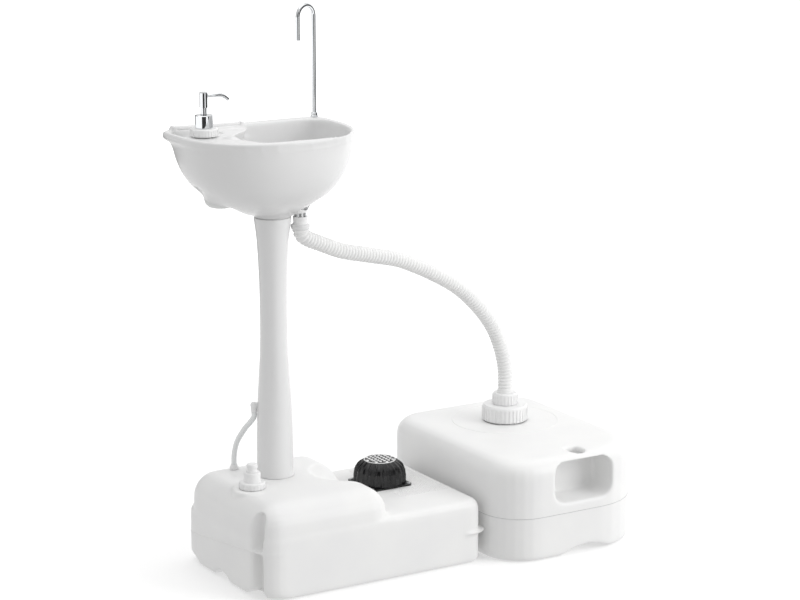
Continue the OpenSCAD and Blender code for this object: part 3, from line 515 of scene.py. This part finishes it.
# %% Nozzle
SOAP_AXIS = place(-125, 18, 0)
NOZZLE_STARTS, NOZZLE_FULLER = 9 * MM, 0.8 * MM
head = skins["dispenser_head"].data
for vertex in head.vertices:
    if math.hypot(vertex.co.x - SOAP_AXIS.x, vertex.co.y - SOAP_AXIS.y) > NOZZLE_STARTS:
        vertex.co += vertex.normal * NOZZLE_FULLER
print("soap pump head", len(head.vertices), "points")

# %% [markdown]
# ## The softest skins, cast again
# The tanks and the basin have no sharp edge anywhere, because molten plastic doesn't fill one. A
# bevel would fail on their dense, uneven triangles, so they are cast again: the faces that only
# look into the cavity are dropped and the holes closed, an even grid of faces is laid over what is
# left (a voxel remesh), and every point is drawn towards its neighbours, some more than others.
# Extra closed solids that overlap the piece melt into it on the way.

# %% Which faces look out
# a ray starts 0.3 mm off its face, and only directions well ahead of the face are tried
JUST_OFF, FACING = 0.0003, 0.1


def keep_outside(work, rays=48, share=0.12):
    """Deletes the faces that can hardly see out, and closes the holes they leave."""
    solid = BVHTree.FromBMesh(work)
    # even directions all round, on a spiral from pole to pole
    golden = math.pi * (3 - math.sqrt(5))
    heights = [1 - (2 * i + 1) / rays for i in range(rays)]
    around = [Vector((math.cos(golden * i) * math.sqrt(1 - z * z),
                      math.sin(golden * i) * math.sqrt(1 - z * z), z))
              for i, z in enumerate(heights)]
    buried = []
    for face in work.faces:
        ahead = [d for d in around if d.dot(face.normal) > FACING]
        start = face.calc_center_median() + face.normal * JUST_OFF
        if sum(solid.ray_cast(start, d)[0] is None for d in ahead) < share * len(ahead):
            buried.append(face)
    print("faces that only look into the cavity", len(buried), "of", len(work.faces))
    bmesh.ops.delete(work, geom=buried, context="FACES")
    bmesh.ops.holes_fill(work, edges=[e for e in work.edges if e.is_boundary], sides=0)


# %% Even faces, and solids that melt in


def even_faces(mesh, voxel_mm):
    """The mesh as an even grid of faces, with everything that overlaps melted together."""
    host = in_scene("recast_host", mesh)
    remesh = host.modifiers.new("recast", "REMESH")
    remesh.mode, remesh.voxel_size, remesh.use_smooth_shade = "VOXEL", voxel_mm * MM, True
    graph = bpy.context.evaluated_depsgraph_get()
    cast = bpy.data.meshes.new_from_object(host.evaluated_get(graph), depsgraph=graph)
    bpy.data.objects.remove(host)
    return cast


def add_loft(work, rings):
    """Adds a closed solid through rings of points, in millimetres from the column's axis."""
    rows = [[work.verts.new(place(*p)) for p in ring] for ring in rings]
    for low_row, high_row in zip(rows, rows[1:]):
        for i in range(len(low_row)):
            j = (i + 1) % len(low_row)
            work.faces.new((low_row[i], low_row[j], high_row[j], high_row[i]))
    work.faces.new(rows[0][::-1])
    work.faces.new(rows[-1])


# %% Relaxing


def points_of(mesh):
    """A mesh's points as rows of millimetres from the column's axis."""
    flat = np.empty(len(mesh.vertices) * 3)
    mesh.vertices.foreach_get("co", flat)
    return flat.reshape(-1, 3) / MM - np.array(COLUMN_AXIS)


def relax(mesh, points, rounds, weight=1.0):
    """Draws points towards the middle of their neighbours; weight is one number, or one each."""
    ends = np.empty(len(mesh.edges) * 2, int)
    mesh.edges.foreach_get("vertices", ends)
    a, b = ends.reshape(-1, 2).T
    count = np.maximum(np.bincount(np.r_[a, b], minlength=len(points)), 1)[:, None]
    pull = 0.5 * np.broadcast_to(weight, len(points))[:, None]
    for _ in range(rounds):
        sums = np.stack([np.bincount(a, points[b, k], len(points))
                         + np.bincount(b, points[a, k], len(points)) for k in range(3)], 1)
        points = points + pull * (sums / count - points)
    return points


# %% Casting
# millimetres: fine enough for the edges, coarse enough for less than 200,000 triangles a piece
TANK_GRID, BASIN_GRID = 2.7, 2.15


def recast(node, voxel_mm, rounds, extra_solids=()):
    """Casts a node again: outside only, even faces, first relaxing."""
    work, mesh = merged(node)
    keep_outside(work)
    for rings in extra_solids:
        add_loft(work, rings)
    work.to_mesh(mesh)
    work.free()
    cast = even_faces(mesh, voxel_mm)
    return cast, relax(cast, points_of(cast), rounds)


def finish_cast(node, cast, points):
    """Gives the cast mesh its points, its finish and its place in the model."""
    cast.vertices.foreach_set("co", ((points + np.array(COLUMN_AXIS)) * MM).ravel())
    cast.update()
    finished(cast, finish_of_slot[slot_of_node[node]])
    skins[node] = stand_in(in_scene(node + "_skin", cast), node)
    print(node, "cast again with", len(cast.polygons), "faces")


# %% [markdown]
# ## The fresh-water tank
# Two places on this tank are softer or deeper than the rest. The deck's front and right edges roll
# over in a wide curve, so the points near them are relaxed far more. And the strap's channel in
# the front left corner is deeper in its middle, so the points on its floor are pushed in, across
# the corner, and smoothed a little. Moving points keeps the rest of the skin as it was cast.

# %% Fresh-water tank: the deck's edges


def ease(x):
    """0 to 1 in an S, for blending one area into the next."""
    x = np.clip(x, 0, 1)
    return x * x * (3 - 2 * x)


# where the edges run, how near a point is to be fully relaxed, and over what width that fades
DECK_TOP, DECK_FRONT, DECK_RIGHT = 119, -194, 346
EDGE_CORE, EDGE_FADE = 12, 16
HOOD_RIGHT, HOOD_FADE = 140, 20
cast, points = recast("base_tank", TANK_GRID, 6)
x, y, z = points.T
edge_front = 1 - ease((np.hypot(y - DECK_FRONT, z - DECK_TOP) - EDGE_CORE) / EDGE_FADE)
edge_right = 1 - ease((np.hypot(x - DECK_RIGHT, z - DECK_TOP) - EDGE_CORE) / EDGE_FADE)
on_deck = ease((x - HOOD_RIGHT) / HOOD_FADE)
rolled = np.maximum(edge_front * on_deck, edge_right)
points = relax(cast, points, 40, rolled)
print("points rolled over", int((rolled > 0).sum()), "of", len(points))

# %% Fresh-water tank: the strap's channel
CHANNEL_AT, CHANNEL_RADIUS, CHANNEL_DEEPER = (-129.3, -162.1), 13.5, 14
# the push fades at the channel's wall and towards its mouth, and the smoothing a little beyond
WALL_BEYOND, WALL_FADE = 3.5, 2.5
MOUTH, MOUTH_FADE = 3, 10
SMOOTHED_BEYOND, SMOOTHED_FADE = 9, 6
inwards = np.array([0.961, 0.276])
from_axis = points[:, :2] - CHANNEL_AT
away = np.hypot(*from_axis.T)
in_channel = (ease((CHANNEL_RADIUS + WALL_BEYOND - away) / WALL_FADE)
              * ease((from_axis @ inwards - MOUTH) / MOUTH_FADE))
points[:, :2] += CHANNEL_DEEPER * in_channel[:, None] * inwards
points = relax(cast, points, 5, ease((CHANNEL_RADIUS + SMOOTHED_BEYOND - away) / SMOOTHED_FADE))
finish_cast("base_tank", cast, points)

# %% [markdown]
# ## The waste tank
# This tank is soft all over in the same way, so its grip pocket, its filler mouth and its feet need
# nothing beyond the even relaxing.

# %% Waste tank
cast, points = recast("recovery_tank", TANK_GRID, 8)
finish_cast("recovery_tank", cast, points)

# %% [markdown]
# ## The basin
# The bowl doesn't reach the back left corner of the basin: a soap shelf fills that corner, and the
# shelf's edge swells into a soft hump beside the dispenser. The bottle's housing bulges a little
# into the bowl and comes out below as a boss, and the drain has a boss of its own. All are closed
# lofts, because a loft that overlaps the basin melts into it without a seam. The outside is then
# relaxed until it is as even as a polished mould leaves it, and the soap pocket, which runs on a
# little behind the dispenser, is pushed down there.

# %% Solids that melt into the basin
SHELF_EDGE = [(-104, -52), (-97, -34), (-86, -12), (-68, 12), (-46, 31), (-27, 46), (-17, 60),
              (-14, 80)]
SHELF_BACK = [(-60, 80), (-104, 74), (-104, 20)]
# heights, how far the shelf's edge lies back from its top line there, and which way
SHELF_LEVELS = ((765, 14), (785, 8), (798, 3), (804, 0.8), (806.5, 0))
BACK_X, BACK_Y = -0.9, 0.8
shelf = [
    [(x0 + drift * BACK_X, y0 + drift * BACK_Y, height) for x0, y0 in SHELF_EDGE]
    + [(x0, y0, height) for x0, y0 in SHELF_BACK]
    for height, drift in SHELF_LEVELS
]


def oval(at, wide, long, height):
    """A level ring of 24 points, given its middle and its half widths along x and y."""
    return [(at[0] + wide * math.cos(a), at[1] + long * math.sin(a), height)
            for a in round_about(24)]


HUMP_AT, HUMP_SIZE, HUMP_LEVEL = (-95, -26), (15, 19, 8), 803.5
hump = [oval(HUMP_AT, HUMP_SIZE[0] * math.cos(lift), HUMP_SIZE[1] * math.cos(lift),
             HUMP_LEVEL + HUMP_SIZE[2] * math.sin(lift))
        for lift in np.linspace(-1.45, 1.45, 13)]
BOTTLE_AT = (-100, 6)
# radius and height of each ring, from the foot up
BOTTLE_HOUSING = ((24, 683.5), (29, 685), (32.5, 690), (34, 700), (37, 730), (41, 745), (41, 787),
                  (39, 795), (33, 800.5), (23, 803))
DRAIN_BOSS = ((14, 628.2), (17.2, 629.4), (17.6, 634), (18, 639.5))
housing = [oval(BOTTLE_AT, radius, radius, height) for radius, height in BOTTLE_HOUSING]
drain_boss = [oval(DRAIN_AT, radius, radius, height) for radius, height in DRAIN_BOSS]
print("rings", len(shelf), len(hump), len(housing), len(drain_boss))

# %% Basin
# millimetres: heights and half widths, each with the width over which its edge fades
RIM_FROM, RIM_FADE, FOOT_FROM, FOOT_FADE = 796, 8, 646, 10
POCKET_AT, POCKET_HALF, POCKET_FADE, POCKET_DEEPER = (-91, 50), 15, 6, 8
cast, points = recast("basin", BASIN_GRID, 4, (shelf, hump, housing, drain_boss))
x, y, z = points.T
outside = ease((RIM_FROM - z) / RIM_FADE) * ease((z - FOOT_FROM) / FOOT_FADE)
points = relax(cast, points, 150, outside)
pocket = (ease((POCKET_HALF - np.abs(x - POCKET_AT[0])) / POCKET_FADE)
          * ease((POCKET_HALF - np.abs(y - POCKET_AT[1])) / POCKET_FADE)
          * ease((z - RIM_FROM) / POCKET_FADE))
points[:, 2] -= POCKET_DEEPER * pocket
points = relax(cast, points, 2)
finish_cast("basin", cast, points)

# %% [markdown]
# ## Flash lines and other fine beads
# The two halves of a blow mould leave a thin raised line where they met. On the fresh-water tank
# it has the tank's own colour, and on the waste tank it shows as a fine grey line, so there it gets
# a greyer finish, a painted shadow of its groove. It follows the tank's own outline, so it can't be
# a
# plain ring: the cast tank is cut with a plane, and a geometry tree sweeps a fine bead along the
# edges of the cut, half sunk into the skin. The same tree lays the low round ring about the waste
# tank's cap, and later the tread's rim, whose white is a painted highlight.

# %% Flash lines


def flash_tree():
    """Sweeps a round bead along every edge it is given."""
    tree, given = new_tree("flash_line", Geometry="Geometry", Bead="Float", Step="Float",
                           Finish="Material")
    line = add(tree, "GeometryNodeMeshToCurve", {"Mesh": given["Geometry"]})
    even = add(tree, "GeometryNodeResampleCurve",
               {"Curve": line.outputs[0], "Length": given["Step"]}, mode="LENGTH")
    circle = add(tree, "GeometryNodeCurvePrimitiveCircle",
                 {"Resolution": 8, "Radius": given["Bead"]})
    bead = add(tree, "GeometryNodeCurveToMesh", {
        "Curve": even.outputs[0], "Profile Curve": circle.outputs["Curve"], "Fill Caps": True})
    return close_tree(tree, bead.outputs[0], given["Finish"])


def cut_line(mesh, through, normal, kept):
    """The edges that a plane cuts through a mesh, where `kept` says so, as a bare bmesh."""
    work = bmesh.new()
    work.from_mesh(mesh)
    cut = bmesh.ops.bisect_plane(work, geom=work.verts[:] + work.edges[:] + work.faces[:],
                                 dist=1e-6, plane_co=place(*through), plane_no=normal)["geom_cut"]
    on_cut = {e for e in cut
              if isinstance(e, bmesh.types.BMEdge) and all(kept(v.co) for v in e.verts)}
    bmesh.ops.delete(work, geom=work.faces[:], context="FACES_ONLY")
    bmesh.ops.delete(work, geom=[e for e in work.edges if e not in on_cut], context="EDGES")
    bmesh.ops.delete(work, geom=[v for v in work.verts if not v.link_edges], context="VERTS")
    return work


flash_maker = flash_tree()
LEFT_END = place(-122, 0, 0).x
# node: a point of the cutting plane and its normal, in the source's millimetres, what is kept,
# the bead's radius in mm and its finish
FLASH = {
    # the waste tank's bead is grey: painted shadow of the seam's groove
    "recovery_tank": ((0, 0, 84), (0, 0, 1), lambda c: True, 0.6, seam_painted_shadow_skin),
    "base_tank": ((-131, -117, 83), (0, 0.124, 1), lambda c: c.x < LEFT_END, 0.9, tank_skin),
}
for node, (through, normal, kept, bead, finish) in FLASH.items():
    work = cut_line(skins[node].data, through, normal, kept)
    outline = bpy.data.meshes.new(node + "_outline")
    work.to_mesh(outline)
    work.free()
    line = made_by(flash_maker, outline, node + "_flash", Bead=bead * MM, Step=3.0 * MM,
                   Finish=finish)
    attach(line, "stand")
    print(line.name, "faces", len(line.data.polygons))

# %% The ring about the waste tank's cap
RING_POINTS = 72


def bead_ring(name, middle, radius, bead, body, finish):
    """A round bead bent into a level ring about a point."""
    outline = bpy.data.meshes.new(name + "_outline")
    outline.from_pydata(
        [(middle.x + radius * math.cos(a), middle.y + radius * math.sin(a), middle.z)
         for a in round_about(RING_POINTS)],
        [(i, (i + 1) % RING_POINTS) for i in range(RING_POINTS)], [])
    ring = made_by(flash_maker, outline, name, Bead=bead, Step=2.0 * MM, Finish=finish)
    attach(ring, body)
    print(name, "radius", round(radius / MM, 1), "mm, faces", len(ring.data.polygons))


bead_ring("recovery_top_ring", place(*WASTE_CAP_AT, 189.9), 103 * MM, 1.2 * MM, "stand",
          tank_skin)

# %% [markdown]
# ## The rubber bellows
# Under the tread is a ribbed rubber dome that folds when the pump is pressed. Separate ribs would
# meet the dome in hard lines, but real ones swell smoothly out of the wall, so the wall is made as
# a grid of rings and columns whose radius follows the dome's outline and rises on each of the 22
# ribs. A second grid inside gives it a 3 mm wall.

# %% Sizes of the bellows
PUMP = place(*PUMP_AT, 0)
foot_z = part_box("pump_bellows")[0].z
shoulder_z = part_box("pump_tread")[1].z - 1.5 * MM
tall = shoulder_z - foot_z
DOME_RADIUS, RIB_HEIGHT, WALL = 46.0 * MM, 2.8 * MM, 3.0 * MM
RIBS, COLUMNS, RINGS = 22, 22 * 14, 34
RIB_SHARPNESS, RIB_FADE, RIB_AT_TOP, INSIDE_TOP = 1.2, 6, 0.25, 0.93
# the dome's outline: height and radius, each as a share
OUTLINE = [(0, 1.02), (0.3, 1.02), (0.56, 0.985), (0.72, 0.93), (0.8, 0.87), (0.9, 0.76),
           (0.96, 0.69), (1, 0.64)]
print("dome", round(DOME_RADIUS / MM), "mm in radius and", round(tall / MM, 1), "mm tall")

# %% The bellows' rings and faces
turn = round_about(COLUMNS)
swell = np.clip(np.cos(turn * RIBS), 0, 1) ** RIB_SHARPNESS
heights = np.linspace(0, 1, RINGS)
radii = np.interp(heights, [h for h, _ in OUTLINE], [r for _, r in OUTLINE]) * DOME_RADIUS
points, faces = [], []
for inside in (False, True):
    for h, r in zip(heights, radii):
        if inside:
            ring_r, z = r - WALL, foot_z + tall * min(h, INSIDE_TOP)
        else:
            ring_r = r + RIB_HEIGHT * swell * min(1, (1 - h) * RIB_FADE + RIB_AT_TOP)
            z = foot_z + tall * h
        points += [(PUMP.x + a * math.cos(t), PUMP.y + a * math.sin(t), z)
                   for a, t in zip(np.broadcast_to(ring_r, turn.shape), turn)]
beside = [(j, (j + 1) % COLUMNS) for j in range(COLUMNS)]
for shell in (0, 1):
    for i in range(RINGS - 1):
        low = (shell * RINGS + i) * COLUMNS
        high = low + COLUMNS
        for j, k in beside:
            quad = [low + j, low + k, high + k, high + j]
            faces.append(quad if shell == 0 else quad[::-1])
for ring in (0, RINGS - 1):
    outer, inner = ring * COLUMNS, (RINGS + ring) * COLUMNS
    for j, k in beside:
        quad = [outer + j, inner + j, inner + k, outer + k]
        faces.append(quad if ring == 0 else quad[::-1])
mesh = bpy.data.meshes.new("pump_bellows_ribbed")
mesh.from_pydata(points, [], faces)
finished(mesh, bellows_skin)
bellows = stand_in(in_scene("pump_bellows_ribbed", mesh), "pump_bellows")
print("bellows faces", len(faces))

# %% [markdown]
# ## Parts that give way
# The bellows and the two springs, which shorten when their joint is pressed, each get a mesh of
# their own.

# %% Meshes of their own
for piece, joint in ((bellows, "pump_press"), (skins["pump_spring"], "pump_press"),
                     (skins["dispenser_spring"], "soap_press")):
    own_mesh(piece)

# %% [markdown]
# ## Grip nubs
# The tread has rows of small round nubs, and the deck beside the pump has a field of lower ones for
# a shoe. Both are the same thing: a grid of points, thinned to an area, with one small dome put on
# each. The tree takes the spacing and the dome's size, and keeps only points inside a circle and
# outside a square hole, where the pump's flange lies. Each dome has few faces, because there are
# hundreds.

# %% The nub tree


def nub_tree():
    """A square grid of domes inside a circle and outside a square hole."""
    tree, given = new_tree("grip_nubs", Geometry="Geometry", Wide="Float", Long="Float",
                           Spacing="Float", Reach="Float", Hole="Float", Radius="Float",
                           Height="Float", Centre="Vector", Middle="Vector", Finish="Material")
    count = [add(tree, "ShaderNodeMath", {0: given[side], 1: given["Spacing"]}, operation="DIVIDE")
             for side in ("Wide", "Long")]
    count = [add(tree, "ShaderNodeMath", {0: c.outputs[0], 1: 1.0}, operation="ADD")
             for c in count]
    # a grid of points at the field's centre
    grid = add(tree, "GeometryNodeMeshGrid", {
        "Size X": given["Wide"], "Size Y": given["Long"],
        "Vertices X": count[0].outputs[0], "Vertices Y": count[1].outputs[0]})
    placed = add(tree, "GeometryNodeTransform", {
        "Geometry": grid.outputs["Mesh"], "Translation": given["Centre"]})
    # points outside the circle or inside the square hole are dropped
    here = add(tree, "GeometryNodeInputPosition").outputs[0]
    away = add(tree, "ShaderNodeVectorMath", {0: here, 1: given["Middle"]}, operation="SUBTRACT")
    xyz = add(tree, "ShaderNodeSeparateXYZ", {0: away.outputs[0]}).outputs
    flat = add(tree, "ShaderNodeCombineXYZ", {0: xyz[0], 1: xyz[1]})
    far = add(tree, "ShaderNodeVectorMath", {0: flat.outputs[0]}, operation="LENGTH")
    sides = [add(tree, "ShaderNodeMath", {0: xyz[i]}, operation="ABSOLUTE").outputs[0]
             for i in (0, 1)]
    square = add(tree, "ShaderNodeMath", {0: sides[0], 1: sides[1]}, operation="MAXIMUM")
    outside = add(tree, "FunctionNodeCompare", {0: far.outputs["Value"], 1: given["Reach"]},
                  operation="GREATER_THAN")
    in_hole = add(tree, "FunctionNodeCompare", {0: square.outputs[0], 1: given["Hole"]},
                  operation="LESS_THAN")
    drop = add(tree, "FunctionNodeBooleanMath", {0: outside.outputs[0], 1: in_hole.outputs[0]},
               operation="OR")
    kept = add(tree, "GeometryNodeDeleteGeometry", {
        "Geometry": placed.outputs[0], "Selection": drop.outputs[0]}, domain="POINT")
    # a ball pressed flat is the dome, and one goes on each point that is left
    ball = add(tree, "GeometryNodeMeshUVSphere", {
        "Segments": 10, "Rings": 6, "Radius": given["Radius"]})
    low_dome = add(tree, "ShaderNodeMath", {0: given["Height"], 1: given["Radius"]},
                   operation="DIVIDE")
    shape = add(tree, "ShaderNodeCombineXYZ", {0: 1.0, 1: 1.0, 2: low_dome.outputs[0]})
    dome = add(tree, "GeometryNodeTransform", {
        "Geometry": ball.outputs["Mesh"], "Scale": shape.outputs[0]})
    nubs = add(tree, "GeometryNodeInstanceOnPoints", {
        "Points": kept.outputs[0], "Instance": dome.outputs[0]})
    return close_tree(tree, nubs.outputs[0], given["Finish"])


nub_maker = nub_tree()

# %% Nubs on the tread and on the deck, and the tread's rim
tread_low, tread_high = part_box("pump_tread")
deck_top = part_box("pump_flange")[0].z
rim_radius = (tread_high.x - tread_low.x) / 2 - 0.8 * MM
# the tread's rim: a bead painted white as the highlight along the black tread's edge
bead_ring("tread_rim_painted_highlight", Vector((PUMP.x, PUMP.y, shoulder_z + 0.2 * MM)), rim_radius, 0.9 * MM,
          "tread", painted_highlight_skin)
# body, slot, finish, the field's middle and level, and the tree's sizes, all in mm
NUBS = {
    # the tread's nubs are black rubber; their white finish is a painted reflection of the sky
    "tread_nubs": ("tread", "black_plastic", painted_highlight_skin, PUMP_AT, tread_high.z * 1000 - 0.6,
                   {"Wide": 53.2, "Long": 53.2, "Spacing": 7.6, "Reach": 27.5, "Hole": 0.0,
                    "Radius": 3.2, "Height": 1.7}),
    "deck_nubs": ("stand", "tank_plastic", tank_skin, (262, -2), deck_top * 1000,
                  {"Wide": 100, "Long": 190, "Spacing": 5.0, "Reach": 400, "Hole": 50.0,
                   "Radius": 1.5, "Height": 1.1}),
}
for name, (body, slot, finish, at, level, sizes) in NUBS.items():
    centre = place(*at, 0)
    centre.z = level * MM
    piece = made_by(nub_maker, bpy.data.meshes.new(name + "_host"), name, Finish=finish,
                    Centre=tuple(centre), Middle=(PUMP.x, PUMP.y, centre.z),
                    **{key: size * MM for key, size in sizes.items()})
    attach(piece, body)
    print(name, "faces", len(piece.data.polygons))

# %% [markdown]
# ## Floor
# The photograph's floor is plain white and only shows soft shadows near the tanks. A floor lit by
# lamps alone would turn grey towards the horizon, so this one also glows, weakly near the stand
# and more strongly further out. It doesn't light the stand itself.

# %% Floor
FLOOR_SIDE, FLOOR_BELOW = 30.0, 0.0005
corners = [(-FLOOR_SIDE, -FLOOR_SIDE, 0), (FLOOR_SIDE, -FLOOR_SIDE, 0),
           (FLOOR_SIDE, FLOOR_SIDE, 0), (-FLOOR_SIDE, FLOOR_SIDE, 0)]
floor_mesh = bpy.data.meshes.new("floor")
floor_mesh.from_pydata(corners, [], [(0, 1, 2, 3)])
floor = in_scene("floor", floor_mesh)
floor.location.z = -FLOOR_BELOW
floor_skin, floor_tree, floor_shader = new_material("white_studio_floor")
floor_shader.inputs["Base Color"].default_value = linear("#F7F7F7")
floor_shader.inputs["Roughness"].default_value = 0.9
floor_shader.inputs["Emission Color"].default_value = linear("#FFFFFF")
floor_spot = add(floor_tree, "ShaderNodeTexCoord")
floor_reach = add(floor_tree, "ShaderNodeVectorMath", {0: floor_spot.outputs["Object"]},
                  operation="LENGTH")
floor_glow = add(floor_tree, "ShaderNodeMapRange", {
    "Value": floor_reach.outputs["Value"],
    "From Min": 0.8, "From Max": 2.4, "To Min": 0.14, "To Max": 0.5})
floor_tree.links.new(floor_glow.outputs[0], floor_shader.inputs["Emission Strength"])
floor_mesh.materials.append(floor_skin)
floor.visible_diffuse = False
print("floor", 2 * FLOOR_SIDE, "m wide")

# %% [markdown]
# ## Dark cards
# Chrome shows only what stands round it, and in a white room it would vanish. Three dark cards
# stand about the stand, as a photographer sets them. Only reflections see them: the camera, the
# soft light and the shadows don't.

# %% Cards for the chrome
card_skin, _, card_shader = new_material("black_card")
card_shader.inputs["Base Color"].default_value = linear("#101010")
# from and to, in degrees round from the camera's own heading
CARDS = {"dark_middle": (-28, 22), "dark_right": (48, 118), "dark_left": (-150, -118)}
CARD_DISTANCE, CARD_HEIGHT, CARD_FOLDS = 2.2, 2.4, 9
for name, (start, stop) in CARDS.items():
    headings = [VIEW_AZIMUTH + math.radians(d) for d in np.linspace(start, stop, CARD_FOLDS)]
    feet = [Vector((math.sin(a), -math.cos(a), 0)) * CARD_DISTANCE for a in headings]
    tops = [foot + Vector((0, 0, CARD_HEIGHT)) for foot in feet]
    card_mesh = bpy.data.meshes.new(name)
    card_mesh.from_pydata(feet + tops, [], [(i, i + 1, i + 1 + CARD_FOLDS, i + CARD_FOLDS)
                                            for i in range(CARD_FOLDS - 1)])
    card_mesh.materials.append(card_skin)
    card = in_scene(name, card_mesh)
    card.visible_camera = card.visible_diffuse = card.visible_shadow = False
print("cards", len(CARDS))

# %% [markdown]
# ## Sky and lamps
# A white sky does most of the lighting, as a tent of white cloth would, and a large lamp from the
# right front and a weaker one above give it a direction. The sky is dimmer towards the left, so the
# left sides are shaded as in the photograph, and a little dimmer behind and below, so the tops
# keep some tone. The camera itself sees it as pure white, and no line shows where the floor ends.

# %% Sky and lamps
world = bpy.data.worlds.new("white_studio")
bpy.context.scene.world = world
world.use_nodes = True
sky = world.node_tree
background = sky.nodes["Background"]
# across the picture, seen from the camera's side
LEFT_TO_RIGHT = (0.82, 0.57, 0.0)
towards = add(sky, "ShaderNodeTexCoord").outputs["Generated"]
heading = add(sky, "ShaderNodeSeparateXYZ", {0: towards}).outputs
across = add(sky, "ShaderNodeVectorMath", {0: towards, 1: LEFT_TO_RIGHT}, operation="DOT_PRODUCT")
sideways = add(sky, "ShaderNodeMapRange", {
    "Value": across.outputs["Value"],
    "From Min": -0.9, "From Max": 0.6, "To Min": 0.66, "To Max": 1.05})
behind = add(sky, "ShaderNodeMapRange", {
    "Value": heading[1], "From Min": 0.3, "From Max": 0.9, "To Min": 1.0, "To Max": 0.78})
upwards = add(sky, "ShaderNodeMapRange", {
    "Value": heading[2], "From Min": -0.2, "From Max": 0.1, "To Min": 0.9, "To Max": 1.0})
level = add(sky, "ShaderNodeMath", {0: sideways.outputs[0], 1: behind.outputs[0]},
            operation="MULTIPLY")
dimmed = add(sky, "ShaderNodeMath", {0: level.outputs[0], 1: upwards.outputs[0]},
             operation="MULTIPLY")
seen = add(sky, "ShaderNodeLightPath").outputs["Is Camera Ray"]
strength = add(sky, "ShaderNodeMath", {0: dimmed.outputs[0], 1: seen}, operation="MAXIMUM")
sky.links.new(strength.outputs[0], background.inputs["Strength"])
background.inputs["Color"].default_value = linear("#FFFFFF")
# place, size in metres, power in watts
LAMPS = {
    "key_softbox": ((2.2, -2.5, 1.7), 2.0, 45),
    "top_softbox": ((-0.2, 0.6, 3.4), 2.6, 20),
}
LAMPS_AIM = Vector((0, 0, 0.4))
for name, (at, size, power) in LAMPS.items():
    lamp = bpy.data.lights.new(name, "AREA")
    lamp.size, lamp.energy = size, power
    lamp_object = in_scene(name, lamp)
    lamp_object.location = at
    lamp_object.rotation_euler = (Vector(at) - LAMPS_AIM).to_track_quat("Z", "Y").to_euler()
print("lamps", len(LAMPS))
